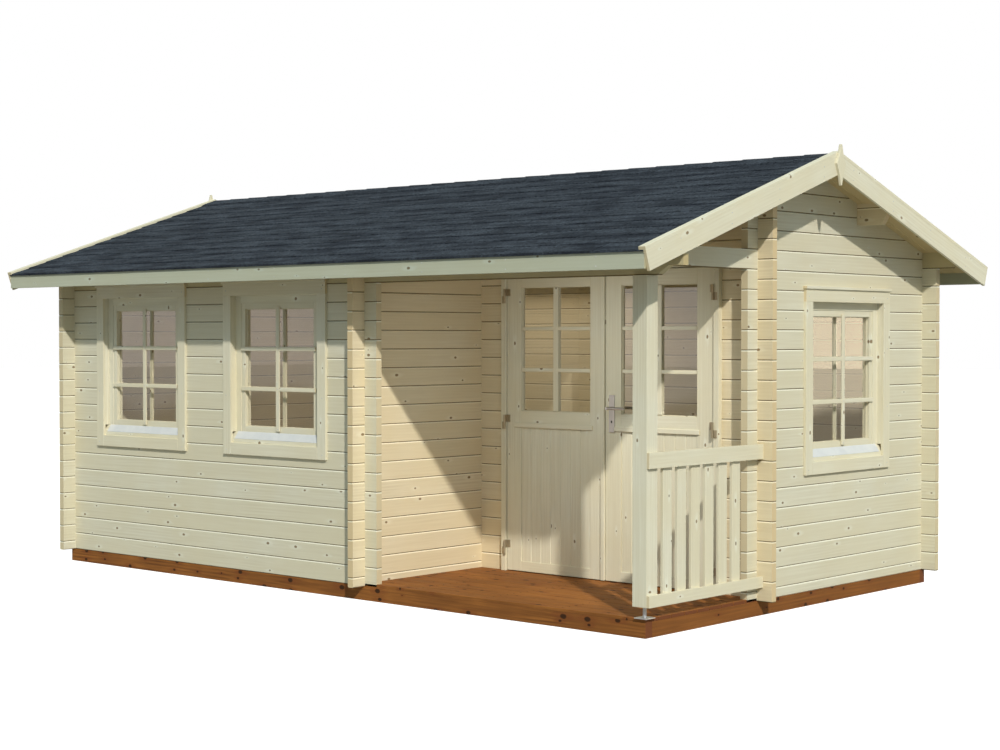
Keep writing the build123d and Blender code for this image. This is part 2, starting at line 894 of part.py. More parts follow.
def post_foot():
    half = foot_plate / 2
    plate_z = floor_top + foot_plate_thickness
    base = block(x_right - half, x_right + half, y_front - half, y_front + half,
                 floor_top, plate_z)
    rod = Pos(x_right, y_front, (plate_z + post_bottom) / 2) * Cylinder(
        foot_rod / 2, post_bottom - plate_z)
    return fuse([base, rod])


def rail(z0, z1):
    """A board on the outer faces of the post and of the gable's log ends."""
    return block(rail_x, rail_x + rail_thickness, y_front - post_half, y_porch - half_wall,
                 z0, z1)


def balusters():
    """Boards behind the two rails, evenly spaced from the post."""
    start = y_front + post_half
    free = y_porch - reach - start - baluster_end_gap
    pitch = free / baluster_count
    boards = []
    for n in range(baluster_count):
        y1 = start + (n + 1) * pitch
        boards.append(block(rail_x - baluster_thickness, rail_x, y1 - baluster_width, y1,
                            post_bottom, top_rail_top))
    return boards


parts["post"] = post()
parts["post_foot"] = post_foot()
parts["top_rail"] = rail(top_rail_top - top_rail_height, top_rail_top)
parts["bottom_rail"] = rail(post_bottom, post_bottom + bottom_rail_height)
parts["balusters"] = balusters()

for name, shape in parts.items():
    if isinstance(shape, list):
        shape = Compound(children=shape)
    export_step(shape, "parts/" + name + ".step")
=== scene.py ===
"""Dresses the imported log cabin: timber with its own grain, roof shingles, deck and floor boards,
glazing bars, door boards, fixings and the studio stage."""

import math
import random

import bmesh
import bpy
import numpy as np
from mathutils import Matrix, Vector


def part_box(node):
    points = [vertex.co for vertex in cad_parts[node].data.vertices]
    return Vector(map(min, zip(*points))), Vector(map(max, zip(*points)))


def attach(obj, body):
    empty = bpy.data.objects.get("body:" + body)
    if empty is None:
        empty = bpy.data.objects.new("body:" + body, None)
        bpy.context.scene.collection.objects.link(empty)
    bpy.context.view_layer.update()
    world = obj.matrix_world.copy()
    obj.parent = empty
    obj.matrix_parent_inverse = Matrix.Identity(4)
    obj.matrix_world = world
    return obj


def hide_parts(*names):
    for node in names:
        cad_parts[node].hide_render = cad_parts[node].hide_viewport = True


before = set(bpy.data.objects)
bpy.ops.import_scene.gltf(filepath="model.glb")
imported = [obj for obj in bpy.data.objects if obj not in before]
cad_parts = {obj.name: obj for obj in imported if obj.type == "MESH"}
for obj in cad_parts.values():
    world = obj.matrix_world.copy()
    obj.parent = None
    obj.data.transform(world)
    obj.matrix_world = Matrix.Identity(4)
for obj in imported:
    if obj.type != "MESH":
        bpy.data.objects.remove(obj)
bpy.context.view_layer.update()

bl_info = {
    "name": "Log Cabin Dressing",
    "version": (1, 0, 0),
    "blender": (4, 5, 0),
    "location": "View3D > Sidebar > Cabin",
    "description": "Dresses the packed log cabin with boards, shingles, bars, fixings and finishes",
    "category": "Object",
}

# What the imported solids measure, in metres
PANE_THICKNESS = 0.004
CASING_PROUD = 0.018
HANDLE_PLATE_HALF = 0.020
HANDLE_PLATE_THICKNESS = 0.008
HINGE_PLATE_DEPTH = 0.0031
FOOT_ROD_RADIUS = 0.010
FOOT_PLATE_THICKNESS = 0.005
ROOF_PITCH = 18.5
BACK_WALL_COURSES = 17

# Clearances: two heights count as one within NEAR, and added pieces stay clear by the others
NEAR = 1e-4
HAIR = 0.0002
SLIT = 0.0003

# Rounding of the edges of boards, bars and beads
BOARD_EASE = 0.0015
DECK_EASE = 0.002
FLOOR_EASE = 0.0006
BAR_EASE = 0.003
BEAD_EASE = 0.001

# Angles in degrees: faces within the first are joined, and edges past the second are rounded
FLAT_ANGLE = 1
SHARP_ANGLE = 25

# How far the figure of one board may be shifted from the next one's
FIGURE_SHIFT = 40.0

# Metals: colour, second colour, roughness and size of the crystals
METALS = {
    "zinc_coated": ((0.62, 0.64, 0.66, 1.0), (0.45, 0.47, 0.50, 1.0), 0.32, 0.004),
    "yellow_zinc": ((0.50, 0.44, 0.32, 1.0), (0.40, 0.35, 0.25, 1.0), 0.4, 0.004),
    "brown_zinc": ((0.13, 0.065, 0.03, 1.0), (0.09, 0.045, 0.02, 1.0), 0.5, 0.004),
    "brushed_steel": ((0.60, 0.60, 0.60, 1.0), (0.48, 0.48, 0.49, 1.0), 0.22, 0.001),
}

# Second colours of the painted pieces, and the painted shade that stands for the keyhole's dark
# opening, with its second colour
SILL_SHADE = (0.60, 0.62, 0.63, 1.0)
PAINTED_KEYHOLE_SHADE = (0.02, 0.02, 0.02, 1.0)
PAINTED_KEYHOLE_SHADE_TINT = (0.04, 0.035, 0.03, 1.0)

# Colours of the lamps
SUN_COLOUR = (1.0, 0.97, 0.91)
ROOM_COLOUR = (1.0, 0.86, 0.68)
PORCH_COLOUR = (0.94, 0.98, 1.0)

# Nodes that keep their own solids and only take a finish
LOGS_ALONG_X = ("front_wall", "back_wall")
EAVE_SHADE_ALONG_X = ("front_beam", "back_plate")
LOGS_ALONG_Y = ("left_gable_wall", "right_gable_wall", "porch_side_beam")
WARM_BOUNCE_ALONG_X = ("porch_wall_left", "porch_wall_right", "porch_wall_top", "purlins")
WARM_BOUNCE_ALONG_Y = ("porch_side_wall",)
GLASS = ("window_glass", "left_leaf_glass", "right_leaf_glass")
HINGES = ("frame_hinges", "left_leaf_hinges", "right_leaf_hinges")

# Nodes that are shown as the same timber with eased edges
FASCIAS = ("back_fascia", "front_fascia")
CABIN_TIMBER = ("left_barge_back", "left_barge_front", "right_barge_back",
                "right_barge_front", "barge_caps_back", "barge_caps_front",
                "finials", "post", "top_rail", "bottom_rail", "balusters", "door_frame",
                "front_window_left_frame", "front_window_right_frame", "gable_window_frame",
                "window_sashes")
GROUND_TIMBER = ("long_bearers", "cross_bearers")


# Small builders for node trees


class Graph:
    """A node tree that is being built."""

    def __init__(self, tree):
        self.tree = tree

    def node(self, kind, **settings):
        """A new node with its settings."""
        made = self.tree.nodes.new(kind)
        for name, value in settings.items():
            setattr(made, name, value)
        return made

    def feed(self, socket, value):
        """Joins another socket to this one, or sets its plain value."""
        if isinstance(value, bpy.types.NodeSocket):
            self.tree.links.new(value, socket)
        elif value is not None:
            socket.default_value = value

    def maths(self, operation, *values, clamp=False):
        """A sum on numbers."""
        made = self.node("ShaderNodeMath", operation=operation, use_clamp=clamp)
        for socket, value in zip(made.inputs, values):
            self.feed(socket, value)
        return made.outputs[0]

    def vectors(self, operation, *values):
        """A sum on vectors."""
        made = self.node("ShaderNodeVectorMath", operation=operation)
        for socket, value in zip(made.inputs, values):
            self.feed(socket, value)
        one_number = operation in ("DOT_PRODUCT", "LENGTH", "DISTANCE")
        return made.outputs["Value" if one_number else "Vector"]

    def stretched(self, vector, factor):
        """A vector times one number that may be a socket."""
        made = self.node("ShaderNodeVectorMath", operation="SCALE")
        self.feed(made.inputs[0], vector)
        self.feed(made.inputs["Scale"], factor)
        return made.outputs["Vector"]

    def split(self, vector):
        """The three parts of a vector."""
        made = self.node("ShaderNodeSeparateXYZ")
        self.feed(made.inputs[0], vector)
        return made.outputs

    def combined(self, x, y, z):
        """A vector from three numbers."""
        made = self.node("ShaderNodeCombineXYZ")
        for socket, value in zip(made.inputs, (x, y, z)):
            self.feed(socket, value)
        return made.outputs[0]

    def blended(self, share, first, second, way="MIX"):
        """A colour between two others."""
        made = self.node("ShaderNodeMix", data_type="RGBA", blend_type=way)
        for index, value in ((0, share), (6, first), (7, second)):
            self.feed(made.inputs[index], value)
        return made.outputs[2]

    def ramped(self, value, low, high, start=0.0, end=1.0):
        """A number that goes smoothly from start to end while value goes from low to high."""
        made = self.node("ShaderNodeMapRange", interpolation_type="SMOOTHSTEP")
        for socket, item in zip(made.inputs, (value, low, high, start, end)):
            self.feed(socket, item)
        return made.outputs[0]

    def noise(self, place, scale, detail=2.0, roughness=0.5, distortion=0.0):
        """A noise texture's value."""
        made = self.node("ShaderNodeTexNoise")
        given = {"Vector": place, "Scale": scale, "Detail": detail, "Roughness": roughness,
                 "Distortion": distortion}
        for name, value in given.items():
            self.feed(made.inputs[name], value)
        return made.outputs["Fac"]

    def group(self, tree, **values):
        """A placed node group with its inputs, where a name's underscore stands for a space."""
        made = self.node("ShaderNodeGroup", node_tree=tree)
        for name, value in values.items():
            self.feed(made.inputs[name.replace("_", " ")], value)
        return made.outputs


def new_group(name, inputs, outputs, build):
    """A shader node group with named inputs and outputs."""
    if name in bpy.data.node_groups:
        return bpy.data.node_groups[name]
    tree = bpy.data.node_groups.new(name, "ShaderNodeTree")
    for label, kind, default in inputs:
        socket = tree.interface.new_socket(label, in_out="INPUT", socket_type=kind)
        if default is not None:
            socket.default_value = default
    for label, kind in outputs:
        tree.interface.new_socket(label, in_out="OUTPUT", socket_type=kind)
    graph = Graph(tree)
    start = graph.node("NodeGroupInput")
    end = graph.node("NodeGroupOutput")
    results = build(graph, start.outputs)
    for label, result in results.items():
        graph.feed(end.inputs[label], result)
    return tree


NUMBER = "NodeSocketFloat"
VECTOR = "NodeSocketVector"
COLOUR = "NodeSocketColor"


def courses_group():
    """Where a point lies in a wall of stacked logs."""
    inputs = (("Place", VECTOR, None), ("Course Height", NUMBER, 0.114), ("Base", NUMBER, 0.0))
    outputs = (("Place", VECTOR), ("Tone", NUMBER), ("Over Joint", NUMBER),
               ("Under Joint", NUMBER))

    def build(graph, given):
        height = graph.split(given["Place"])[2]
        stack = graph.maths("DIVIDE", graph.maths("SUBTRACT", height, given["Base"]),
                            given["Course Height"])
        number = graph.maths("FLOOR", stack)
        chance = graph.node("ShaderNodeTexWhiteNoise", noise_dimensions="1D")
        graph.feed(chance.inputs["W"], number)
        shift = graph.stretched(chance.outputs["Color"], FIGURE_SHIFT)
        part = graph.maths("FRACT", stack)
        rest = graph.maths("SUBTRACT", 1.0, part)
        return {"Place": graph.vectors("ADD", given["Place"], shift),
                "Tone": chance.outputs["Value"],
                "Over Joint": graph.maths("MULTIPLY", part, given["Course Height"]),
                "Under Joint": graph.maths("MULTIPLY", rest, given["Course Height"])}

    return new_group("Log Courses", inputs, outputs, build)


def grain_group():
    """The growth rings and fibres of sawn softwood, with X along the grain."""
    inputs = (("Place", VECTOR, None), ("Ring Width", NUMBER, 0.012), ("Pale", COLOUR, None),
              ("Dark", COLOUR, None), ("Strength", NUMBER, 0.5))
    outputs = (("Color", COLOUR), ("Height", NUMBER))
    ring_stretch = (0.11, 1.0, 1.0)
    fibre_stretch = (0.03, 1.0, 1.0)
    fibre_scale = 75.0
    patch_scale = 2.3
    ring_part = 0.45
    fibre_part = 0.55

    def build(graph, given):
        long_way = graph.vectors("MULTIPLY", given["Place"], ring_stretch)
        rings = graph.node("ShaderNodeTexWave", wave_type="BANDS", bands_direction="Z")
        graph.feed(rings.inputs["Vector"], long_way)
        graph.feed(rings.inputs["Scale"], graph.maths("DIVIDE", math.pi / 10, given["Ring Width"]))
        for name, value in (("Distortion", 7.0), ("Detail", 2.0), ("Detail Scale", 0.6)):
            graph.feed(rings.inputs[name], value)
        fibre_place = graph.vectors("MULTIPLY", given["Place"], fibre_stretch)
        fibres = graph.ramped(graph.noise(fibre_place, fibre_scale, 3.0, 0.6), 0.3, 0.7)
        patches = graph.noise(given["Place"], patch_scale, 2.0)
        figure = graph.maths("MULTIPLY", rings.outputs["Fac"], graph.ramped(patches, 0.35, 0.7))
        mixed = graph.maths("ADD", graph.maths("MULTIPLY", figure, ring_part),
                            graph.maths("MULTIPLY", fibres, fibre_part))
        share = graph.maths("MULTIPLY", mixed, given["Strength"], clamp=True)
        return {"Color": graph.blended(share, given["Pale"], given["Dark"]),
                "Height": graph.maths("SUBTRACT", 1.0, mixed)}

    return new_group("Softwood Grain", inputs, outputs, build)


def knots_group():
    """Small knots with a pale ring, scattered along the boards."""
    inputs = (("Place", VECTOR, None), ("Spacing", NUMBER, 0.4), ("Height", NUMBER, 0.114),
              ("Size", NUMBER, 0.007), ("Share", NUMBER, 0.6))
    outputs = (("Knot", NUMBER), ("Ring", NUMBER))
    lean = 0.35
    knot_stretch = (0.62, 1.0, 0.0)
    ring_stretch = (0.30, 1.0, 0.0)
    swirl_stretch = (0.4, 1.0, 1.0)
    smallest = 0.45
    size_change = 1.1
    ragged_by = 0.003
    curl = 0.016

    def build(graph, given):
        x, y, z = graph.split(given["Place"])[:3]
        across = graph.maths("ADD", z, graph.maths("MULTIPLY", y, lean))
        cell = graph.combined(given["Spacing"], given["Height"], 1.0)
        spread = graph.vectors("DIVIDE", graph.combined(x, across, 0.0), cell)
        cells = graph.node("ShaderNodeTexVoronoi", voronoi_dimensions="2D")
        graph.feed(cells.inputs["Vector"], spread)
        graph.feed(cells.inputs["Scale"], 1.0)
        away = graph.vectors("MULTIPLY",
                             graph.vectors("SUBTRACT", spread, cells.outputs["Position"]), cell)
        distance = graph.vectors("LENGTH", graph.vectors("MULTIPLY", away, knot_stretch))
        chance = graph.split(cells.outputs["Color"])
        there = graph.maths("LESS_THAN", chance[0], given["Share"])
        size = graph.maths("MULTIPLY", given["Size"],
                           graph.maths("MULTIPLY_ADD", chance[1], size_change, smallest))
        wobble = graph.noise(given["Place"], 90.0, 1.0)
        ragged = graph.maths("ADD", distance, graph.maths("MULTIPLY", wobble, ragged_by))
        knot = graph.ramped(ragged, size, graph.maths("MULTIPLY", size, 1.5), 1.0, 0.0)
        halo = graph.vectors("LENGTH", graph.vectors("MULTIPLY", away, ring_stretch))
        swirl = graph.noise(graph.vectors("MULTIPLY", given["Place"], swirl_stretch), 60.0, 2.0)
        curled = graph.maths("MULTIPLY_ADD", swirl, curl,
                             graph.maths("SUBTRACT", halo, curl / 2))
        ring = graph.ramped(curled, size, graph.maths("MULTIPLY", size, 3.0), 1.0, 0.0)
        return {"Knot": graph.maths("MULTIPLY", knot, there),
                "Ring": graph.maths("MULTIPLY", ring, there)}

    return new_group("Knots", inputs, outputs, build)


def end_grain_group():
    """Colour on the cut ends of the timber, where Facing is 1."""
    inputs = (("Place", VECTOR, None), ("Facing", NUMBER, 0.0), ("Side", COLOUR, None),
              ("End", COLOUR, None), ("End Dark", COLOUR, None))
    outputs = (("Color", COLOUR), ("Share", NUMBER))
    ring_strength = 0.35

    def build(graph, given):
        rings = graph.node("ShaderNodeTexWave", wave_type="RINGS", rings_direction="X")
        graph.feed(rings.inputs["Vector"], given["Place"])
        for name, value in (("Scale", 60.0), ("Distortion", 3.0), ("Detail", 1.0)):
            graph.feed(rings.inputs[name], value)
        faint = graph.maths("MULTIPLY", rings.outputs["Fac"], ring_strength)
        end = graph.blended(faint, given["End"], given["End Dark"])
        share = graph.ramped(given["Facing"], 0.7, 0.95)
        return {"Color": graph.blended(share, given["Side"], end), "Share": share}

    return new_group("End Grain", inputs, outputs, build)


def patches_group():
    """Broad soft changes of tint, as wood, felt and zinc have."""
    inputs = (("Place", VECTOR, None), ("Color", COLOUR, None), ("Tint", COLOUR, None),
              ("Size", NUMBER, 0.5), ("Amount", NUMBER, 0.3))
    outputs = (("Color", COLOUR), ("Value", NUMBER))

    def build(graph, given):
        broad = graph.noise(given["Place"], graph.maths("DIVIDE", 1.0, given["Size"]), 3.0, 0.55)
        value = graph.ramped(broad, 0.32, 0.68)
        share = graph.maths("MULTIPLY", value, given["Amount"])
        return {"Color": graph.blended(share, given["Color"], given["Tint"]), "Value": value}

    return new_group("Soft Patches", inputs, outputs, build)


def speckle_group():
    """Fine grains of stone or metal crystals."""
    inputs = (("Place", VECTOR, None), ("Size", NUMBER, 0.003), ("Contrast", NUMBER, 0.5))
    outputs = (("Value", NUMBER),)

    def build(graph, given):
        cells = graph.node("ShaderNodeTexVoronoi")
        graph.feed(cells.inputs["Vector"], given["Place"])
        graph.feed(cells.inputs["Scale"], graph.maths("DIVIDE", 1.0, given["Size"]))
        lift = graph.maths("SUBTRACT", graph.split(cells.outputs["Color"])[0], 0.5)
        return {"Value": graph.maths("MULTIPLY_ADD", lift, given["Contrast"], 0.5)}

    return new_group("Speckle", inputs, outputs, build)


# Materials


def blank(name):
    """A new material, its graph and its shader."""
    material = bpy.data.materials.new(name)
    material.use_nodes = True
    graph = Graph(material.node_tree)
    shader = material.node_tree.nodes["Principled BSDF"]
    return material, graph, shader


def bumped(graph, shader, height, strength, distance):
    """Feeds a height into the shader's normal."""
    bump = graph.node("ShaderNodeBump")
    graph.feed(bump.inputs["Height"], height)
    bump.inputs["Strength"].default_value = strength
    bump.inputs["Distance"].default_value = distance
    graph.feed(shader.inputs["Normal"], bump.outputs["Normal"])


def attribute(graph, name):
    """A piece's own attribute."""
    return graph.node("ShaderNodeAttribute", attribute_name=name)


def laid_in_courses(turn, base, height):
    """The layout of a wall of logs: the turn brings the logs' length to X."""

    def layout(graph):
        where = graph.node("ShaderNodeTexCoord")
        turned = graph.node("ShaderNodeMapping", vector_type="POINT")
        turned.inputs["Rotation"].default_value = (0.0, 0.0, turn)
        graph.feed(turned.inputs["Vector"], where.outputs["Object"])
        found = graph.group(courses_group(), Place=turned.outputs[0], Course_Height=height,
                            Base=base)
        length_axis = (math.cos(turn), -math.sin(turn), 0.0)
        facing = graph.vectors("DOT_PRODUCT", where.outputs["Normal"], length_axis)
        return {"place": found["Place"], "tone": found["Tone"],
                "joint": (found["Over Joint"], found["Under Joint"]),
                "facing": graph.maths("ABSOLUTE", facing), "object": where.outputs["Object"]}

    return layout


def laid_by_board(graph):
    """The layout of separate boards, read from the attributes that each board carries."""
    where = graph.node("ShaderNodeTexCoord")
    facing = graph.vectors("DOT_PRODUCT", where.outputs["Normal"],
                           attribute(graph, "lengthwise").outputs["Vector"])
    return {"place": attribute(graph, "grain").outputs["Vector"],
            "tone": attribute(graph, "board").outputs["Fac"], "joint": None,
            "facing": graph.maths("ABSOLUTE", facing), "object": where.outputs["Object"]}


def wood(name, look, layout, stain_and_painted_light=None):
    """A sawn softwood finish with grain, knots, end grain and soft patches; on log walls it also
    paints a highlight along each log's upper edge and shade along its lower edge, and it may
    multiply in a stain or painted light.
    """
    patch_size = 0.4
    highlight_end = 1.8
    seam_shade_start = 0.8
    seam_shade_end = 1.3
    roughness_change = 0.12
    bump_strength = 0.25
    material, graph, shader = blank(name)
    found = layout(graph)
    grain = graph.group(grain_group(), Place=found["place"], Ring_Width=look.ring_width,
                        Pale=tuple(look.pale), Dark=tuple(look.dark), Strength=look.grain)
    toned = graph.blended(graph.maths("MULTIPLY", found["tone"], look.board_change),
                          grain["Color"], tuple(look.tint))
    patched = graph.group(patches_group(), Place=found["object"], Color=toned,
                          Tint=tuple(look.tint), Size=patch_size, Amount=look.patches)
    knots = graph.group(knots_group(), Place=found["place"], Spacing=look.knot_spacing,
                        Height=look.knot_height, Size=look.knot_size, Share=look.knot_share)
    ringed = graph.blended(graph.maths("MULTIPLY", knots["Ring"], look.ring_share),
                           patched["Color"], tuple(look.knot_ring))
    knotted = graph.blended(knots["Knot"], ringed, tuple(look.knot))
    ended = graph.group(end_grain_group(), Place=found["place"], Facing=found["facing"],
                        Side=knotted, End=tuple(look.end), End_Dark=tuple(look.end_dark))
    colour = ended["Color"]
    height = grain["Height"]
    # Painted light at the log joints: edge is a pale painted highlight where light would catch the
    # top edge of each log, and seam is a dark painted shade in the groove along the bottom edge of
    # the log above.
    if found["joint"] is not None:
        over, under = found["joint"]
        edge = graph.ramped(under, look.seam, look.seam * highlight_end, 1.0, 0.0)
        colour = graph.blended(edge, colour, tuple(look.painted_edge_highlight))
        seam = graph.ramped(over, look.seam * seam_shade_start, look.seam * seam_shade_end, 1.0, 0.0)
        colour = graph.blended(seam, colour, tuple(look.seam_dark))
    # Multiplies in the given colour: a stain on the outer log walls, and painted shade or painted
    # warm bounce light on the eaves, soffit, fascias and porch.
    if stain_and_painted_light is not None:
        colour = graph.blended(1.0, colour, stain_and_painted_light, "MULTIPLY")
    graph.feed(shader.inputs["Base Color"], colour)
    graph.feed(shader.inputs["Roughness"],
               graph.maths("MULTIPLY_ADD", height, roughness_change, look.roughness))
    shader.inputs["Specular IOR Level"].default_value = look.gloss
    bumped(graph, shader, height, bump_strength, look.relief)
    return material


def shingle_finish(name, look):
    """Dark mineral felt: fine granules, broad mottling and a tone for each tab."""
    patch_stretch = (0.22, 1.0, 1.0)
    patch_size = 0.07
    tone_change = 0.16
    darkest_tone = 0.9
    material, graph, shader = blank(name)
    place = graph.node("ShaderNodeTexCoord").outputs["Object"]
    long_patches = graph.vectors("MULTIPLY", place, patch_stretch)
    mottled = graph.group(patches_group(), Place=long_patches, Color=tuple(look.dark),
                          Tint=tuple(look.light), Size=patch_size, Amount=0.9)
    granules = graph.group(speckle_group(), Place=place, Size=look.granule, Contrast=0.9)
    tone = attribute(graph, "board").outputs["Fac"]
    lift = graph.maths("MULTIPLY_ADD", tone, tone_change, darkest_tone)
    grained = graph.maths("MULTIPLY", lift, graph.maths("MULTIPLY_ADD", granules["Value"], 1.0, 0.5))
    graph.feed(shader.inputs["Base Color"],
               graph.blended(1.0, mottled["Color"], graph.combined(grained, grained, grained),
                             "MULTIPLY"))
    shader.inputs["Roughness"].default_value = 0.9
    shader.inputs["Specular IOR Level"].default_value = 0.12
    bumped(graph, shader, granules["Value"], 0.5, 0.0015)
    return material


def metal_finish(name, colour, tint, roughness, crystal):
    """Zinc-coated or brushed steel with faint crystals and patches."""
    material, graph, shader = blank(name)
    place = graph.node("ShaderNodeTexCoord").outputs["Object"]
    patched = graph.group(patches_group(), Place=place, Color=colour, Tint=tint, Size=0.05,
                          Amount=0.5)
    crystals = graph.group(speckle_group(), Place=place, Size=crystal, Contrast=0.4)
    graph.feed(shader.inputs["Base Color"], patched["Color"])
    shader.inputs["Metallic"].default_value = 0.9
    graph.feed(shader.inputs["Roughness"],
               graph.maths("MULTIPLY_ADD", crystals["Value"], 0.25, roughness))
    bumped(graph, shader, crystals["Value"], 0.1, 0.0004)
    return material


def painted_finish(name, colour, tint, roughness):
    """A smooth painted or coated surface with a slight change of tint."""
    material, graph, shader = blank(name)
    place = graph.node("ShaderNodeTexCoord").outputs["Object"]
    patched = graph.group(patches_group(), Place=place, Color=colour, Tint=tint, Size=0.1,
                          Amount=0.6)
    grains = graph.group(speckle_group(), Place=place, Size=0.002, Contrast=0.3)
    graph.feed(shader.inputs["Base Color"], patched["Color"])
    graph.feed(shader.inputs["Roughness"],
               graph.maths("MULTIPLY_ADD", patched["Value"], 0.15, roughness))
    bumped(graph, shader, grains["Value"], 0.08, 0.0003)
    return material


def glass_finish(name, look):
    """Clear panes that let daylight through to the room."""
    material, graph, shader = blank(name)
    place = graph.node("ShaderNodeTexCoord").outputs["Object"]
    patched = graph.group(patches_group(), Place=place, Color=tuple(look.glass),
                          Tint=tuple(look.glass_tint), Size=0.6, Amount=1.0)
    graph.feed(shader.inputs["Base Color"], patched["Color"])
    shader.inputs["Transmission Weight"].default_value = 1.0
    shader.inputs["Roughness"].default_value = 0.0
    shader.inputs["IOR"].default_value = look.pane_index
    light = graph.node("ShaderNodeLightPath")
    passing = graph.maths("MAXIMUM", light.outputs["Is Shadow Ray"], light.outputs["Is Diffuse Ray"])
    clear = graph.node("ShaderNodeBsdfTransparent")
    either = graph.node("ShaderNodeMixShader")
    graph.feed(either.inputs[0], passing)
    graph.feed(either.inputs[1], shader.outputs[0])
    graph.feed(either.inputs[2], clear.outputs[0])
    output = material.node_tree.nodes["Material Output"]
    graph.feed(output.inputs["Surface"], either.outputs[0])
    return material


def finish(name):
    """A material made by the finishes operator."""
    return bpy.data.materials[name]


# Meshes


def solids_of(node):
    """A node's separate solids, each a list of corners and a list of triangles."""
    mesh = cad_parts[node].data
    corners = {}
    points = []
    numbers = []
    for vertex in mesh.vertices:
        key = tuple(round(value, 6) for value in vertex.co)
        if key not in corners:
            corners[key] = len(points)
            points.append(vertex.co.copy())
        numbers.append(corners[key])
    triangles = []
    for polygon in mesh.polygons:
        triangle = tuple(numbers[index] for index in polygon.vertices)
        if len(set(triangle)) == 3:
            triangles.append(triangle)
    sides = {}
    for number, triangle in enumerate(triangles):
        for start, end in zip(triangle, triangle[1:] + triangle[:1]):
            sides.setdefault(frozenset((start, end)), []).append(number)
    neighbours = {number: [] for number in range(len(triangles))}
    for pair in sides.values():
        if len(pair) == 2:
            neighbours[pair[0]].append(pair[1])
            neighbours[pair[1]].append(pair[0])
    solids = []
    waiting = set(neighbours)
    while waiting:
        first = min(waiting)
        waiting.discard(first)
        reached = [first]
        for number in reached:
            for other in neighbours[number]:
                if other in waiting:
                    waiting.discard(other)
                    reached.append(other)
        used = sorted({corner for number in reached for corner in triangles[number]})
        place = {corner: index for index, corner in enumerate(used)}
        faces = [tuple(place[corner] for corner in triangles[number]) for number in reached]
        solids.append(([points[corner] for corner in used], faces))
    return solids


def box_of(points):
    """The lowest and highest corner of a list of points."""
    low = Vector(min(point[axis] for point in points) for axis in range(3))
    high = Vector(max(point[axis] for point in points) for axis in range(3))
    return low, high


BOX_FACES = ((0, 2, 3, 1), (4, 5, 7, 6), (0, 1, 5, 4), (2, 6, 7, 3), (0, 4, 6, 2), (1, 3, 7, 5))


def box_points(low, high):
    """The eight corners of a box, in the order that BOX_FACES uses."""
    return [Vector((x, y, z)) for z in (low[2], high[2]) for y in (low[1], high[1])
            for x in (low[0], high[0])]


def tube_faces(count, rings=2):
    """The faces of a closed tube, given by rings that each have the same count of corners."""
    faces = [(level * count + step, level * count + (step + 1) % count,
              (level + 1) * count + (step + 1) % count, (level + 1) * count + step)
             for level in range(rings - 1) for step in range(count)]
    faces.append(tuple(reversed(range(count))))
    faces.append(tuple(range((rings - 1) * count, rings * count)))
    return faces


def prism(outline, axis, start, end):
    """A straight bar: an outline of two-part points, pushed along one axis."""
    others = [index for index in range(3) if index != axis]
    points = []
    for place in (start, end):
        for first, second in outline:
            point = Vector((0.0, 0.0, 0.0))
            point[axis] = place
            point[others[0]] = first
            point[others[1]] = second
            points.append(point)
    return points, tube_faces(len(outline))


class Timber:
    """Collects boards, each with eased edges and its own grain."""

    def __init__(self, seed):
        self.chance = random.Random(seed)
        self.points = []
        self.faces = []
        self.grain = []
        self.board = []
        self.lengthwise = []

    def add(self, points, faces, ease):
        """Adds one board, given by its corners and faces."""
        form = bmesh.new()
        made = [form.verts.new(point) for point in points]
        for face in faces:
            form.faces.new([made[index] for index in face])
        bmesh.ops.recalc_face_normals(form, faces=form.faces)
        bmesh.ops.dissolve_limit(form, angle_limit=math.radians(FLAT_ANGLE), verts=form.verts,
                                 edges=form.edges)
        if ease > 0:
            least = math.radians(SHARP_ANGLE)
            sharp = [edge for edge in form.edges
                     if len(edge.link_faces) == 2 and edge.calc_face_angle() > least]
            bmesh.ops.bevel(form, geom=sharp, offset=ease, segments=2, profile=0.5,
                            affect="EDGES", clamp_overlap=True)
        bmesh.ops.recalc_face_normals(form, faces=form.faces)
        cloud = np.array([list(point) for point in points])
        centre = cloud.mean(0)
        long_way, wide_way, thin_way = np.linalg.svd(cloud - centre, full_matrices=False)[2]
        axes = np.array([long_way, thin_way, wide_way])
        shift = np.array([self.chance.uniform(-FIGURE_SHIFT, FIGURE_SHIFT) for _ in range(3)])
        tone = self.chance.random()
        form.verts.index_update()
        first = len(self.points)
        for vertex in form.verts:
            self.points.append(tuple(vertex.co))
            self.grain.append(axes @ (np.array(vertex.co) - centre) + shift)
            self.board.append(tone)
            self.lengthwise.append(long_way)
        for face in form.faces:
            self.faces.append([first + vertex.index for vertex in face.verts])
        form.free()

    def box(self, low, high, ease=BOARD_EASE):
        """Adds a square-edged board."""
        self.add(box_points(low, high), BOX_FACES, ease)

    def node(self, name, ease=BOARD_EASE):
        """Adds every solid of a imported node."""
        for points, faces in solids_of(name):
            self.add(points, faces, ease)

    def mesh(self, name, material=None):
        """All boards as one mesh."""
        made = bpy.data.meshes.new(name)
        made.from_pydata(self.points, [], self.faces)
        values = (("grain", "FLOAT_VECTOR", "vector", self.grain),
                  ("board", "FLOAT", "value", self.board),
                  ("lengthwise", "FLOAT_VECTOR", "vector", self.lengthwise))
        for label, kind, field, data in values:
            layer = made.attributes.new(label, kind, "POINT")
            layer.data.foreach_set(field, np.array(data, np.float32).ravel())
        if material is not None:
            made.materials.append(material)
        made.update()
        return made


def plain_mesh(name, parts, material):
    """One mesh of several (points, faces) parts, with faces turned outwards."""
    form = bmesh.new()
    for points, faces in parts:
        made = [form.verts.new(point) for point in points]
        for face in faces:
            form.faces.new([made[index] for index in face])
    bmesh.ops.recalc_face_normals(form, faces=form.faces)
    mesh = bpy.data.meshes.new(name)
    form.to_mesh(mesh)
    form.free()
    mesh.materials.append(material)
    return mesh


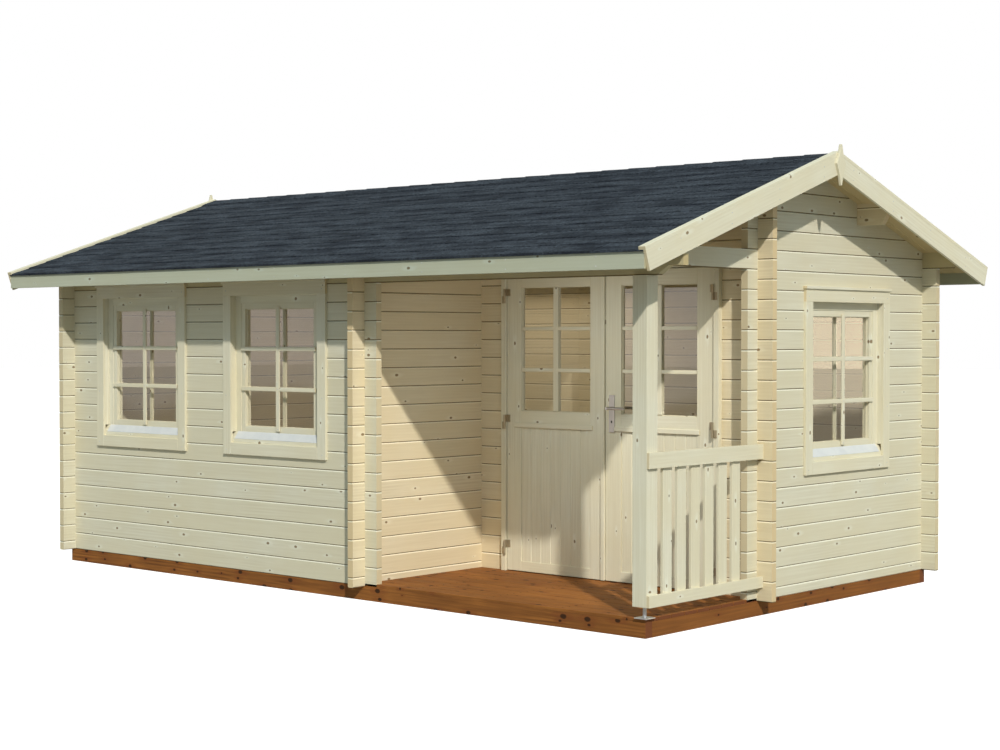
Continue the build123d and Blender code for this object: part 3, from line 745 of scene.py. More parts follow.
def show(name, mesh, body, replaced=()):
    """Puts a finished mesh in the scene, on its body."""
    piece = bpy.data.objects.new(name, mesh)
    bpy.context.scene.collection.objects.link(piece)
    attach(piece, body)
    if replaced:
        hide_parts(*replaced)
    return piece


def clothe(node, material):
    """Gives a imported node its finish."""
    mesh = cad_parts[node].data
    mesh.materials.clear()
    mesh.materials.append(material)


# Geometry Nodes


class Field(Graph):
    """A Geometry Nodes tree that is being built."""

    def chance(self, kind, low, high, seed):
        """A random number or vector for each item."""
        made = self.node("FunctionNodeRandomValue", data_type=kind)
        first = 0 if kind == "FLOAT_VECTOR" else 2
        made.inputs[first].default_value = low
        made.inputs[first + 1].default_value = high
        self.feed(made.inputs["Seed"], seed)
        return made.outputs[0 if kind == "FLOAT_VECTOR" else 1]

    def stored(self, geometry, name, kind, domain, value):
        """Keeps a value on the geometry under a name."""
        made = self.node("GeometryNodeStoreNamedAttribute", data_type=kind, domain=domain)
        self.feed(made.inputs["Geometry"], geometry)
        self.feed(made.inputs["Name"], name)
        self.feed(made.inputs["Value"], value)
        return made.outputs["Geometry"]

    def named(self, name, kind):
        """Reads a kept value."""
        made = self.node("GeometryNodeInputNamedAttribute", data_type=kind)
        made.inputs["Name"].default_value = name
        return made.outputs["Attribute"]

    def placed(self, points, instance):
        """An instance on each point."""
        made = self.node("GeometryNodeInstanceOnPoints")
        self.feed(made.inputs["Points"], points)
        self.feed(made.inputs["Instance"], instance)
        return made

    def realized(self, instances):
        """The instances turned into a mesh."""
        made = self.node("GeometryNodeRealizeInstances")
        self.feed(made.inputs["Geometry"], instances)
        return made.outputs["Geometry"]

    def dressed(self, geometry, material, end):
        """Sets the material and ends the tree."""
        made = self.node("GeometryNodeSetMaterial")
        self.feed(made.inputs["Geometry"], geometry)
        self.feed(made.inputs["Material"], material)
        self.feed(end.inputs["Geometry"], made.outputs["Geometry"])

    def varied(self, instances, seed):
        """Instances that each carry a tone and a shift of their grain."""
        toned = self.stored(instances, "board", "FLOAT", "INSTANCE",
                            self.chance("FLOAT", 0.0, 1.0, seed))
        return self.stored(toned, "row_shift", "FLOAT_VECTOR", "INSTANCE",
                           self.chance("FLOAT_VECTOR", (-FIGURE_SHIFT,) * 3,
                                       (FIGURE_SHIFT,) * 3, seed))

    def regrained(self, geometry):
        """Adds each instance's shift to the grain of its board."""
        moved = self.vectors("ADD", self.named("grain", "FLOAT_VECTOR"),
                             self.named("row_shift", "FLOAT_VECTOR"))
        return self.stored(geometry, "grain", "FLOAT_VECTOR", "POINT", moved)


def new_field(name, inputs):
    """A Geometry Nodes tree with its named inputs, and its start and end nodes."""
    tree = bpy.data.node_groups.new(name, "GeometryNodeTree")
    tree.interface.new_socket("Geometry", in_out="INPUT", socket_type="NodeSocketGeometry")
    for label, kind in inputs:
        tree.interface.new_socket(label, in_out="INPUT", socket_type=kind)
    tree.interface.new_socket("Geometry", in_out="OUTPUT", socket_type="NodeSocketGeometry")
    field = Field(tree)
    return field, field.node("NodeGroupInput"), field.node("NodeGroupOutput")


def row_field():
    """Repeats one board in a straight row, with a tone and a figure for each copy."""
    name = "Row of Boards"
    if name in bpy.data.node_groups:
        return bpy.data.node_groups[name]
    field, start, end = new_field(name, (("Count", "NodeSocketInt"), ("Step", VECTOR),
                                         ("Seed", "NodeSocketInt"),
                                         ("Material", "NodeSocketMaterial")))
    line = field.node("GeometryNodeMeshLine", mode="OFFSET")
    field.feed(line.inputs["Count"], start.outputs["Count"])
    field.feed(line.inputs["Offset"], start.outputs["Step"])
    placed = field.placed(line.outputs["Mesh"], start.outputs["Geometry"])
    varied = field.varied(placed.outputs["Instances"], start.outputs["Seed"])
    boards = field.regrained(field.realized(varied))
    field.dressed(boards, start.outputs["Material"], end)
    return field.tree


def courses_field():
    """Lays tabs in overlapping courses, each second one half a tab along, trimmed at the verges."""
    name = "Shingle Courses"
    if name in bpy.data.node_groups:
        return bpy.data.node_groups[name]
    field, start, end = new_field(name, (("Columns", "NodeSocketInt"), ("Rows", "NodeSocketInt"),
                                         ("Along", VECTOR), ("Up", VECTOR), ("Low X", NUMBER),
                                         ("High X", NUMBER), ("Seed", "NodeSocketInt"),
                                         ("Material", "NodeSocketMaterial")))
    given = start.outputs
    across = field.maths("ADD", given["Columns"], 1.0)
    points = field.node("GeometryNodeMeshLine", mode="OFFSET")
    field.feed(points.inputs["Count"], field.maths("MULTIPLY", across, given["Rows"]))
    number = field.node("GeometryNodeInputIndex").outputs[0]
    row = field.maths("FLOOR", field.maths("DIVIDE", field.maths("ADD", number, 0.5), across))
    column = field.maths("SUBTRACT", number, field.maths("MULTIPLY", row, across))
    odd = field.maths("MODULO", row, 2.0)
    slid = field.maths("SUBTRACT", column, field.maths("MULTIPLY", odd, 0.5))
    place = field.vectors("ADD", field.stretched(given["Along"], slid),
                          field.stretched(given["Up"], row))
    laid = field.node("GeometryNodeSetPosition")
    field.feed(laid.inputs["Geometry"], points.outputs["Mesh"])
    field.feed(laid.inputs["Position"], place)
    spare = field.maths("MULTIPLY", field.maths("SUBTRACT", 1.0, odd),
                        field.maths("GREATER_THAN", column, field.maths("SUBTRACT",
                                                                        given["Columns"], 0.5)))
    kept = field.node("GeometryNodeDeleteGeometry", domain="POINT")
    field.feed(kept.inputs["Geometry"], laid.outputs["Geometry"])
    field.feed(kept.inputs["Selection"], spare)
    placed = field.placed(kept.outputs["Geometry"], given["Geometry"])
    real = field.realized(field.varied(placed.outputs["Instances"], given["Seed"]))
    x, y, z = field.split(field.node("GeometryNodeInputPosition").outputs[0])[:3]
    trimmed = field.maths("MAXIMUM", given["Low X"], field.maths("MINIMUM", given["High X"], x))
    cut = field.node("GeometryNodeSetPosition")
    field.feed(cut.inputs["Geometry"], real)
    field.feed(cut.inputs["Position"], field.combined(trimmed, y, z))
    field.dressed(cut.outputs["Geometry"], given["Material"], end)
    return field.tree


def fixings_field():
    """Puts a domed screw or nail head on each point, turned to the way that the point faces."""
    name = "Fixings"
    if name in bpy.data.node_groups:
        return bpy.data.node_groups[name]
    field, start, end = new_field(name, (("Radius", NUMBER), ("Proud", NUMBER),
                                         ("Material", "NodeSocketMaterial")))
    head_corners = 10
    crown = 0.6
    head = field.node("GeometryNodeMeshCone")
    head.inputs["Vertices"].default_value = head_corners
    field.feed(head.inputs["Radius Bottom"], start.outputs["Radius"])
    field.feed(head.inputs["Radius Top"], field.maths("MULTIPLY", start.outputs["Radius"], crown))
    field.feed(head.inputs["Depth"], start.outputs["Proud"])
    turn = field.node("FunctionNodeAlignRotationToVector", axis="Z")
    field.feed(turn.inputs["Vector"], field.named("facing", "FLOAT_VECTOR"))
    placed = field.placed(start.outputs["Geometry"], head.outputs["Mesh"])
    field.feed(placed.inputs["Rotation"], turn.outputs["Rotation"])
    field.dressed(field.realized(placed.outputs["Instances"]), start.outputs["Material"], end)
    return field.tree


def grown(mesh, tree, **values):
    """The plain mesh that a Geometry Nodes tree makes of a seed mesh."""
    seed = bpy.data.objects.new("seed", mesh)
    bpy.context.scene.collection.objects.link(seed)
    modifier = seed.modifiers.new(tree.name, "NODES")
    modifier.node_group = tree
    for item in tree.interface.items_tree:
        key = item.name.replace(" ", "_")
        if item.item_type == "SOCKET" and item.in_out == "INPUT" and key in values:
            modifier[item.identifier] = values[key]
    result = bpy.data.meshes.new_from_object(
        seed.evaluated_get(bpy.context.evaluated_depsgraph_get()))
    bpy.data.objects.remove(seed)
    for spare in ("row_shift", "facing"):
        if spare in result.attributes:
            result.attributes.remove(result.attributes[spare])
    if not result.polygons:
        raise RuntimeError(f"{tree.name} made nothing")
    return result


def fixing_mesh(name, points, material, radius, proud):
    """Screw or nail heads at (place, facing) pairs."""
    seed = bpy.data.meshes.new(name)
    seed.from_pydata([place for place, _ in points], [], [])
    layer = seed.attributes.new("facing", "FLOAT_VECTOR", "POINT")
    ways = np.array([facing for _, facing in points], np.float32)
    layer.data.foreach_set("vector", ways.ravel())
    return grown(seed, fixings_field(), Radius=radius, Proud=proud, Material=material)


# Settings


def length(name, description, default):
    """A size in metres."""
    return bpy.props.FloatProperty(name=name, description=description, default=default,
                                   min=0.0, soft_max=1.0, precision=4, unit="LENGTH")


def share(name, description, default):
    """A share from none to all."""
    return bpy.props.FloatProperty(name=name, description=description, default=default,
                                   min=0.0, max=1.0, subtype="FACTOR")


def amount(name, description, default, high):
    """A plain number."""
    return bpy.props.FloatProperty(name=name, description=description, default=default,
                                   min=0.0, max=high)


def colour(name, description, default):
    """A colour."""
    return bpy.props.FloatVectorProperty(name=name, description=description, size=4,
                                         default=(*default, 1.0), min=0.0, max=1.0,
                                         subtype="COLOR")


class CabinSpruce(bpy.types.PropertyGroup):
    """Fresh spruce of the log walls and the planed joinery."""

    pale: colour("Pale", "Colour between the growth rings", (0.80, 0.77, 0.62))
    dark: colour("Dark", "Colour of the growth rings", (0.57, 0.50, 0.34))
    tint: colour("Tint", "Colour that some boards and patches lean to", (0.74, 0.67, 0.47))
    knot: colour("Knot", "Colour of the knots", (0.28, 0.21, 0.12))
    knot_ring: colour("Knot ring", "Colour of the wood round a knot", (0.86, 0.85, 0.72))
    end: colour("End grain", "Colour of the cut ends", (0.72, 0.62, 0.41))
    end_dark: colour("End rings", "Colour of the rings on the cut ends", (0.60, 0.48, 0.28))
    # Painted light at the log joints: the Seam colour is painted shade in the groove along each
    # log's lower edge, and the Log edge colour is a painted highlight along its upper edge.
    seam_dark: colour("Seam", "Colour under the joint between two logs", (0.19, 0.15, 0.07))
    painted_edge_highlight: colour("Log edge", "Colour of a log's upper edge", (0.95, 0.92, 0.76))
    ring_width: length("Ring width", "Width of one growth ring", 0.020)
    grain: share("Grain", "Strength of the grain", 0.55)
    board_change: share("Board change", "How far the boards differ", 0.5)
    patches: share("Patches", "Strength of the broad patches", 0.5)
    ring_share: share("Ring strength", "Strength of the wood round a knot", 0.45)
    knot_spacing: length("Knot spacing", "Distance between knots along a board", 0.30)
    knot_height: length("Knot row", "Distance between knots across a board", 0.10)
    knot_size: length("Knot size", "Radius of a knot", 0.0050)
    knot_share: share("Knot share", "Share of the places that hold a knot", 0.5)
    seam: length("Seam height", "Height of the chamfer along a log's edge", 0.005)
    weathered: colour("Weathered", "Stain of the outer log walls", (0.93, 0.93, 0.925))
    # Painted light: a warm tint on the porch's logs and the purlins, standing for warm light bounced
    # from the deck.
    warm_bounce: colour("Sheltered", "Stain of the logs in the porch", (1.0, 0.92, 0.825))
    # Painted shade: the Eaves colour darkens the beam and plate under the roof's overhang, standing
    # for the shade there.
    eaves: colour("Eaves", "Stain of the logs under the eaves", (0.76, 0.72, 0.58))
    # Painted shade: the Soffit colour makes the roof boards darker and warmer, standing for the
    # shade on the roof's underside.
    soffit: colour("Soffit", "Stain of the roof boards", (0.86, 0.74, 0.52))
    # Painted shade: the Fascia colour makes the fascias darker and cooler, standing for the lesser
    # light on their outward faces.
    fascia: colour("Fascia", "Stain of the boards at the eaves", (0.66, 0.73, 0.74))
    gloss: share("Gloss", "Strength of the surface's shine", 0.3)
    roughness: share("Roughness", "Roughness of the planed surface", 0.55)
    relief: length("Relief", "Depth of the grain", 0.0006)


class CabinTreated(bpy.types.PropertyGroup):
    """Red-brown treated pine of the ground frame and the deck."""

    pale: colour("Pale", "Colour between the growth rings", (0.42, 0.165, 0.040))
    dark: colour("Dark", "Colour of the growth rings", (0.085, 0.030, 0.010))
    tint: colour("Tint", "Colour that some boards and patches lean to", (0.21, 0.080, 0.022))
    knot: colour("Knot", "Colour of the knots", (0.050, 0.022, 0.009))
    knot_ring: colour("Knot ring", "Colour of the wood round a knot", (0.20, 0.06, 0.02))
    end: colour("End grain", "Colour of the cut ends", (0.20, 0.07, 0.028))
    end_dark: colour("End rings", "Colour of the rings on the cut ends", (0.11, 0.036, 0.014))
    ring_width: length("Ring width", "Width of one growth ring", 0.022)
    grain: share("Grain", "Strength of the grain", 1.0)
    board_change: share("Board change", "How far the boards differ", 0.6)
    patches: share("Patches", "Strength of the broad patches", 0.6)
    ring_share: share("Ring strength", "Strength of the wood round a knot", 0.5)
    knot_spacing: length("Knot spacing", "Distance between knots along a board", 0.24)
    knot_height: length("Knot row", "Distance between knots across a board", 0.07)
    knot_size: length("Knot size", "Radius of a knot", 0.0080)
    knot_share: share("Knot share", "Share of the places that hold a knot", 0.6)
    gloss: share("Gloss", "Strength of the surface's shine", 0.12)
    roughness: share("Roughness", "Roughness of the treated surface", 0.6)
    relief: length("Relief", "Depth of the grain", 0.0008)


class CabinRoof(bpy.types.PropertyGroup):
    """Shingles, ridge caps and roof boards."""

    light: colour("Light", "Light colour of the mineral felt", (0.050, 0.060, 0.074))
    dark: colour("Dark", "Dark colour of the mineral felt", (0.017, 0.021, 0.029))
    granule: length("Granule", "Size of the mineral granules", 0.011)
    columns: bpy.props.IntProperty(name="Tabs", description="Tabs in one course", default=17,
                                   min=2, max=60)
    rows: bpy.props.IntProperty(name="Courses", description="Courses on one slope", default=13,
                                min=2, max=40)
    slot: length("Slot", "Gap between two tabs", 0.006)
    tab_thickness: length("Tab thickness", "Thickness of one tab", 0.0035)
    cap_count: bpy.props.IntProperty(name="Ridge caps", description="Caps along the ridge",
                                     default=26, min=2, max=80)
    cap_width: length("Cap width", "Width of a ridge cap on each slope", 0.125)
    board_count: bpy.props.IntProperty(name="Roof boards", description="Boards on one slope",
                                       default=58, min=2, max=120)
    groove: length("Groove", "Depth of the groove between two boards", 0.004)


class CabinDeck(bpy.types.PropertyGroup):
    """Boards underfoot."""

    board_count: bpy.props.IntProperty(name="Deck boards", description="Boards of the porch deck",
                                       default=9, min=2, max=30)
    gap: length("Deck gap", "Gap between two deck boards", 0.004)
    floor_count: bpy.props.IntProperty(name="Floor boards", description="Boards of the room",
                                       default=30, min=2, max=60)
    floor_gap: length("Floor gap", "Gap between two floor boards", 0.0012)


class CabinGlazing(bpy.types.PropertyGroup):
    """Glazing bars, beads, sill covers and panes."""

    glass: colour("Glass", "Colour of the panes", (0.93, 0.91, 0.87))
    glass_tint: colour("Glass tint", "Colour that the panes lean to", (0.86, 0.86, 0.84))
    pane_index: amount("Mirroring", "Refractive index, for how far the panes mirror", 1.8, 3.0)
    sill_white: colour("Sill cover", "Colour of the sill cover", (0.70, 0.71, 0.70))
    upright_bar: length("Upright bar", "Width of the upright glazing bar", 0.034)
    level_bar: length("Level bar", "Height of the level glazing bars", 0.026)
    bar_thickness: length("Bar thickness", "Thickness of a glazing bar", 0.010)
    pane_height: length("Pane height", "Height from the top of the glass to the next bar", 0.2555)
    bar_lap: length("Bar lap", "How far a bar's end lies on the sash", 0.026)
    sash_front: length("Sash front", "Distance from the pane to the sash's front", 0.025)
    sash_back: length("Sash back", "Distance from the pane to the sash's back", 0.021)
    bead: length("Bead", "Width of the bead that holds a pane", 0.004)
    sill_drop: length("Sill step", "Height from the clear opening to the front of the sill", 0.024)
    sill_rise: length("Sill rise", "Height that the sill climbs", 0.047)
    sill_depth: length("Sill depth", "Depth of the sloped sill", 0.030)
    casing: length("Casing", "Width of the casing round a window", 0.075)
    sill_inset: length("Sill inset", "Gap between the cover's ends and the jambs", 0.028)


class CabinDoor(bpy.types.PropertyGroup):
    """Boards and mouldings of the door leaves."""

    board_count: bpy.props.IntProperty(name="Panel boards", description="Boards in one panel",
                                       default=7, min=2, max=20)
    board_thickness: length("Panel board", "Thickness of a panel board", 0.006)
    upright_bar: length("Upright bar", "Width of the upright glazing bar", 0.038)
    level_bar: length("Level bar", "Height of the level glazing bars", 0.023)
    bar_depth: length("Bar depth", "How far a glazing bar stands out from the pane", 0.015)
    bar_height: length("Weather bar", "Height of the weather bar", 0.030)
    bar_proud: length("Weather bar depth", "How far the weather bar stands out", 0.008)
    keyhole_drop: length("Keyhole", "Height of the keyhole over the plate's foot", 0.064)


class CabinFixings(bpy.types.PropertyGroup):
    """Nails, screws and the thread of the post's foot."""

    nail: length("Nail", "Radius of a nail head", 0.0035)
    screw: length("Screw", "Radius of a screw head", 0.0045)
    proud: length("Proud", "How far a head stands out", 0.0012)
    spacing: length("Spacing", "Distance between nails along a board", 0.56)
    pitch: length("Pitch", "Pitch of the foot's thread", 0.003)


class CabinStage(bpy.types.PropertyGroup):
    """Camera, light and floor."""

    camera_place: bpy.props.FloatVectorProperty(name="Camera", description="Place of the camera",
                                                default=(8.3172, -9.1210, 1.5859), unit="LENGTH")
    camera_way: bpy.props.FloatVectorProperty(name="View", description="The way the camera looks",
                                              default=(-0.6647, 0.7468, -0.0209),
                                              subtype="DIRECTION")
    lens: bpy.props.FloatProperty(name="Lens", description="Focal length in millimetres",
                                  default=65.6, min=10.0, max=300.0)
    sun_way: bpy.props.FloatVectorProperty(name="Sun way", description="The way the light travels",
                                           default=(-1.0, 0.755, -0.90), subtype="DIRECTION")
    sun: amount("Sun", "Strength of the key light", 2.75, 20.0)
    sun_size: bpy.props.FloatProperty(name="Softness", description="Width of the key light",
                                      default=math.radians(1.5), subtype="ANGLE")
    sky_low: amount("Low sky", "Strength of the soft light at the horizon", 0.28, 5.0)
    sky_high: amount("High sky", "Strength of the soft light overhead", 0.62, 5.0)
    sky_tint: colour("Sky tint", "Colour of the soft light", (0.76, 0.94, 1.0))
    mirror: amount("Mirrored light", "Strength of what the panes mirror", 3.0, 10.0)
    mirror_side: colour("Mirrored wall", "Colour mirrored by the gable's panes", (1.0, 0.85, 0.62))
    mirror_front: colour("Mirrored front", "Colour mirrored by the front panes", (0.36, 0.33, 0.31))
    mirror_low: colour("Mirrored foot", "Colour mirrored under the horizon", (0.16, 0.13, 0.10))
    floor: colour("Floor", "Colour of the floor", (0.32, 0.31, 0.29))
    floor_glow: share("Floor glow", "How far the floor is lifted towards white", 1.0)
    room: amount("Room light", "Power of the soft light in the room, in watts", 11.0, 500.0)
    porch: amount("Porch light", "Power of the soft light in the porch, in watts", 5.5, 500.0)


class CabinSettings(bpy.types.PropertyGroup):
    """All settings of the cabin's dressing."""

    spruce: bpy.props.PointerProperty(name="Spruce", type=CabinSpruce)
    treated: bpy.props.PointerProperty(name="Treated pine", type=CabinTreated)
    roof: bpy.props.PointerProperty(name="Roof", type=CabinRoof)
    deck: bpy.props.PointerProperty(name="Deck", type=CabinDeck)
    glazing: bpy.props.PointerProperty(name="Glazing", type=CabinGlazing)
    door: bpy.props.PointerProperty(name="Door", type=CabinDoor)
    fixings: bpy.props.PointerProperty(name="Fixings", type=CabinFixings)
    stage: bpy.props.PointerProperty(name="Stage", type=CabinStage)


# Operators


def turned_to(way):
    """The rotation of a camera or lamp that looks a given way."""
    return Vector(way).to_track_quat("-Z", "Y").to_euler()


def new_lamp(context, name, kind, energy, tint):
    """A lamp of the stage, in the scene."""
    data = bpy.data.lights.new(name, kind)
    data.energy = energy
    data.color = tint
    lamp = bpy.data.objects.new(name, data)
    context.scene.collection.objects.link(lamp)
    return lamp


class CABIN_OT_stage(bpy.types.Operator):
    """Set up the camera, the light and a plain pale floor"""

    bl_idname = "cabin.stage"
    bl_label = "Stage"

    def execute(self, context):
        look = context.scene.cabin.stage
        self.camera(context, look)
        self.lights(context, look)
        self.world(context, look)
        self.floor(context, look)
        context.scene.view_settings.view_transform = "Standard"
        return {"FINISHED"}

    def camera(self, context, look):
        """The camera, solved from the lines of the photograph."""
        data = bpy.data.cameras.new("camera")
        data.lens = look.lens
        data.sensor_width = 36.0
        data.clip_end = 200.0
        camera = bpy.data.objects.new("camera", data)
        camera.location = look.camera_place
        camera.rotation_euler = turned_to(look.camera_way)
        context.scene.collection.objects.link(camera)
        context.scene.camera = camera

    def lights(self, context, look):
        """The sun, and two soft lamps that only light: one in the room, one in the porch."""
        room_size = 1.6
        porch_size = 0.7
        below_top = 0.1
        from_wall = 0.1
        lamp_height = 0.86
        porch_way = (-0.3, 0.55, -1.0)
        sun = new_lamp(context, "key_light", "SUN", look.sun, SUN_COLOUR)
        sun.data.angle = look.sun_size
        sun.rotation_euler = turned_to(look.sun_way)
        low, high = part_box("floor")
        room = new_lamp(context, "room_light", "AREA", look.room, ROOM_COLOUR)
        room.data.size = room_size
        room.location = (0.2 * low.x, 0.35 * high.y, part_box("back_wall")[1].z - below_top)
        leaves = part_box("left_leaf")[0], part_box("right_leaf")[1]
        porch = new_lamp(context, "porch_light", "AREA", look.porch, PORCH_COLOUR)
        porch.data.size = porch_size
        porch.location = (leaves[0].x * 0.35 + leaves[1].x * 0.65,
                          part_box("front_wall")[0].y + from_wall, leaves[1].z * lamp_height)
        porch.rotation_euler = turned_to(porch_way)
        for hidden in (room, porch):
            hidden.visible_camera = False
            hidden.visible_glossy = False
            hidden.visible_transmission = False

    def world(self, context, look):
        """Soft light that grows towards the zenith, behind a white backdrop."""
        full_sky = 0.7
        mirror_end = (0.15, 0.3)
        world = bpy.data.worlds.new("studio")
        world.use_nodes = True
        context.scene.world = world
        graph = Graph(world.node_tree)
        way = graph.node("ShaderNodeTexCoord").outputs["Generated"]
        height = graph.split(way)[2]
        soft = world.node_tree.nodes["Background"]
        soft.inputs["Color"].default_value = tuple(look.sky_tint)
        graph.feed(soft.inputs["Strength"],
                   graph.ramped(height, 0.0, full_sky, look.sky_low, look.sky_high))
        backdrop = graph.node("ShaderNodeBackground")
        backdrop.inputs["Color"].default_value = (1.0, 1.0, 1.0, 1.0)
        light = graph.node("ShaderNodeLightPath")
        either = graph.node("ShaderNodeMixShader")
        graph.feed(either.inputs[0], light.outputs["Is Camera Ray"])
        graph.feed(either.inputs[1], soft.outputs[0])
        graph.feed(either.inputs[2], backdrop.outputs[0])
        level = graph.ramped(height, *mirror_end, 1.0, 0.0)
        mirrored = graph.node("ShaderNodeMixShader")
        graph.feed(mirrored.inputs[0],
                   graph.maths("MULTIPLY", light.outputs["Is Glossy Ray"], level))
        graph.feed(mirrored.inputs[1], either.outputs[0])
        graph.feed(mirrored.inputs[2], self.mirrored(graph, look, way, height))
        graph.feed(world.node_tree.nodes["World Output"].inputs["Surface"], mirrored.outputs[0])

    def mirrored(self, graph, look, way, height):
        """What the panes and the metal mirror: a pale warm band over a darker one."""
        edge_scale = 14.0
        edge_change = 0.05
        edge_low = -0.064
        edge_soft = 0.012
        edge = graph.maths("MULTIPLY_ADD", graph.noise(way, edge_scale, 2.0), edge_change,
                           edge_low)
        over = graph.maths("SUBTRACT", height, edge)
        side = graph.ramped(graph.split(way)[1], -0.3, 0.3)
        wall = graph.blended(side, tuple(look.mirror_front), tuple(look.mirror_side))
        scene = graph.blended(graph.ramped(over, 0.0, edge_soft), tuple(look.mirror_low), wall)
        mirror = graph.node("ShaderNodeBackground")
        graph.feed(mirror.inputs["Color"], scene)
        mirror.inputs["Strength"].default_value = look.mirror
        return mirror.outputs[0]

    def floor(self, context, look):
        """A plain pale floor just under the bearers."""
        reach = 70.0
        below = 0.001
        material, graph, shader = blank("studio_floor")
        shader.inputs["Base Color"].default_value = tuple(look.floor)
        shader.inputs["Roughness"].default_value = 0.9
        shader.inputs["Specular IOR Level"].default_value = 0.0
        light = graph.node("ShaderNodeLightPath")
        glow = graph.node("ShaderNodeEmission")
        graph.feed(glow.inputs["Strength"],
                   graph.maths("MULTIPLY", light.outputs["Is Camera Ray"], look.floor_glow))
        both = graph.node("ShaderNodeAddShader")
        graph.feed(both.inputs[0], shader.outputs[0])
        graph.feed(both.inputs[1], glow.outputs[0])
        graph.feed(material.node_tree.nodes["Material Output"].inputs["Surface"], both.outputs[0])
        corners = [Vector((x, y, -below)) for x, y in ((-reach, -reach), (reach, -reach),
                                                       (reach, reach), (-reach, reach))]
        mesh = bpy.data.meshes.new("studio_floor")
        mesh.from_pydata(corners, [], [(0, 1, 2, 3)])
        mesh.materials.append(material)
        floor = bpy.data.objects.new("studio_floor", mesh)
        context.scene.collection.objects.link(floor)
        floor.visible_glossy = False


class CABIN_OT_finishes(bpy.types.Operator):
    """Make every finish: wood, felt, glass, steel and paint"""

    bl_idname = "cabin.finishes"
    bl_label = "Finishes"

    def execute(self, context):
        settings = context.scene.cabin
        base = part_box("front_wall")[0].z
        height = self.course_height()
        along_x = laid_in_courses(0.0, base, height)
        along_y = laid_in_courses(math.pi / 2, base + height / 2, height)
        weathered = tuple(settings.spruce.weathered)
        warm_bounce = tuple(settings.spruce.warm_bounce)
        wood("logs_along_x", settings.spruce, along_x, weathered)
        wood("logs_along_y", settings.spruce, along_y, weathered)
        # Painted shade under the eaves.
        wood("eaves_along_x", settings.spruce, along_x, tuple(settings.spruce.eaves))
        # Painted warm bounce light on the porch's logs and the purlins.
        wood("sheltered_along_x", settings.spruce, along_x, warm_bounce)
        wood("sheltered_along_y", settings.spruce, along_y, warm_bounce)
        # Painted shade on the roof boards' underside.
        wood("soffit_spruce", settings.spruce, laid_by_board, tuple(settings.spruce.soffit))
        wood("planed_spruce", settings.spruce, laid_by_board)
        wood("treated_pine", settings.treated, laid_by_board)
        # Painted shade on the fascias.
        wood("fascia_spruce", settings.spruce, laid_by_board, tuple(settings.spruce.fascia))
        shingle_finish("mineral_felt", settings.roof)
        glass_finish("clear_pane", settings.glazing)
        for name, values in METALS.items():
            metal_finish(name, *values)
        painted_finish("sill_white", tuple(settings.glazing.sill_white), SILL_SHADE, 0.35)
        # Painted shade: a black finish for the keyhole, standing for its dark opening.
        painted_finish("lock_black", PAINTED_KEYHOLE_SHADE, PAINTED_KEYHOLE_SHADE_TINT, 0.4)
        return {"FINISHED"}

    def course_height(self):
        """The height of one log, from the back wall's full logs."""
        low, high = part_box("back_wall")
        return (high.z - low.z) / BACK_WALL_COURSES


class CABIN_OT_logs(bpy.types.Operator):
    """Give the log walls, panes and ironwork their finishes"""

    bl_idname = "cabin.logs"
    bl_label = "Walls, panes and ironwork"

    def execute(self, context):
        walls = (("logs_along_x", LOGS_ALONG_X), ("logs_along_y", LOGS_ALONG_Y),
                 ("eaves_along_x", EAVE_SHADE_ALONG_X),
                 ("sheltered_along_x", WARM_BOUNCE_ALONG_X), ("sheltered_along_y", WARM_BOUNCE_ALONG_Y))
        for material, nodes in walls:
            for node in nodes:
                clothe(node, finish(material))
        for node in GLASS:
            clothe(node, finish("clear_pane"))
        for node in HINGES:
            clothe(node, finish("yellow_zinc"))
        clothe("post_foot", finish("zinc_coated"))
        clothe("handle", finish("brushed_steel"))
        for node in ("shingles_front", "shingles_back"):
            clothe(node, finish("mineral_felt"))
        return {"FINISHED"}


class CABIN_OT_timber(bpy.types.Operator):
    """Show the joinery, the bearers and the door leaves with eased edges and their own grain"""

    bl_idname = "cabin.timber"
    bl_label = "Joinery and bearers"

    def execute(self, context):
        for number, node in enumerate(CABIN_TIMBER):
            self.show_node(node, "cabin", "planed_spruce", number)
        for number, node in enumerate(GROUND_TIMBER):
            self.show_node(node, "cabin", "treated_pine", 40 + number)
        for number, node in enumerate(FASCIAS):
            self.show_node(node, "cabin", "fascia_spruce", 45 + number)
        self.show_node("left_leaf", "left_door", "planed_spruce", 50)
        self.show_node("right_leaf", "right_door", "planed_spruce", 51)
        return {"FINISHED"}

    def show_node(self, node, body, material, seed):
        """One node's solids as timber, in the node's place."""
        timber = Timber(seed)
        timber.node(node)
        show(node + "_timber", timber.mesh(node + "_timber", finish(material)), body, [node])


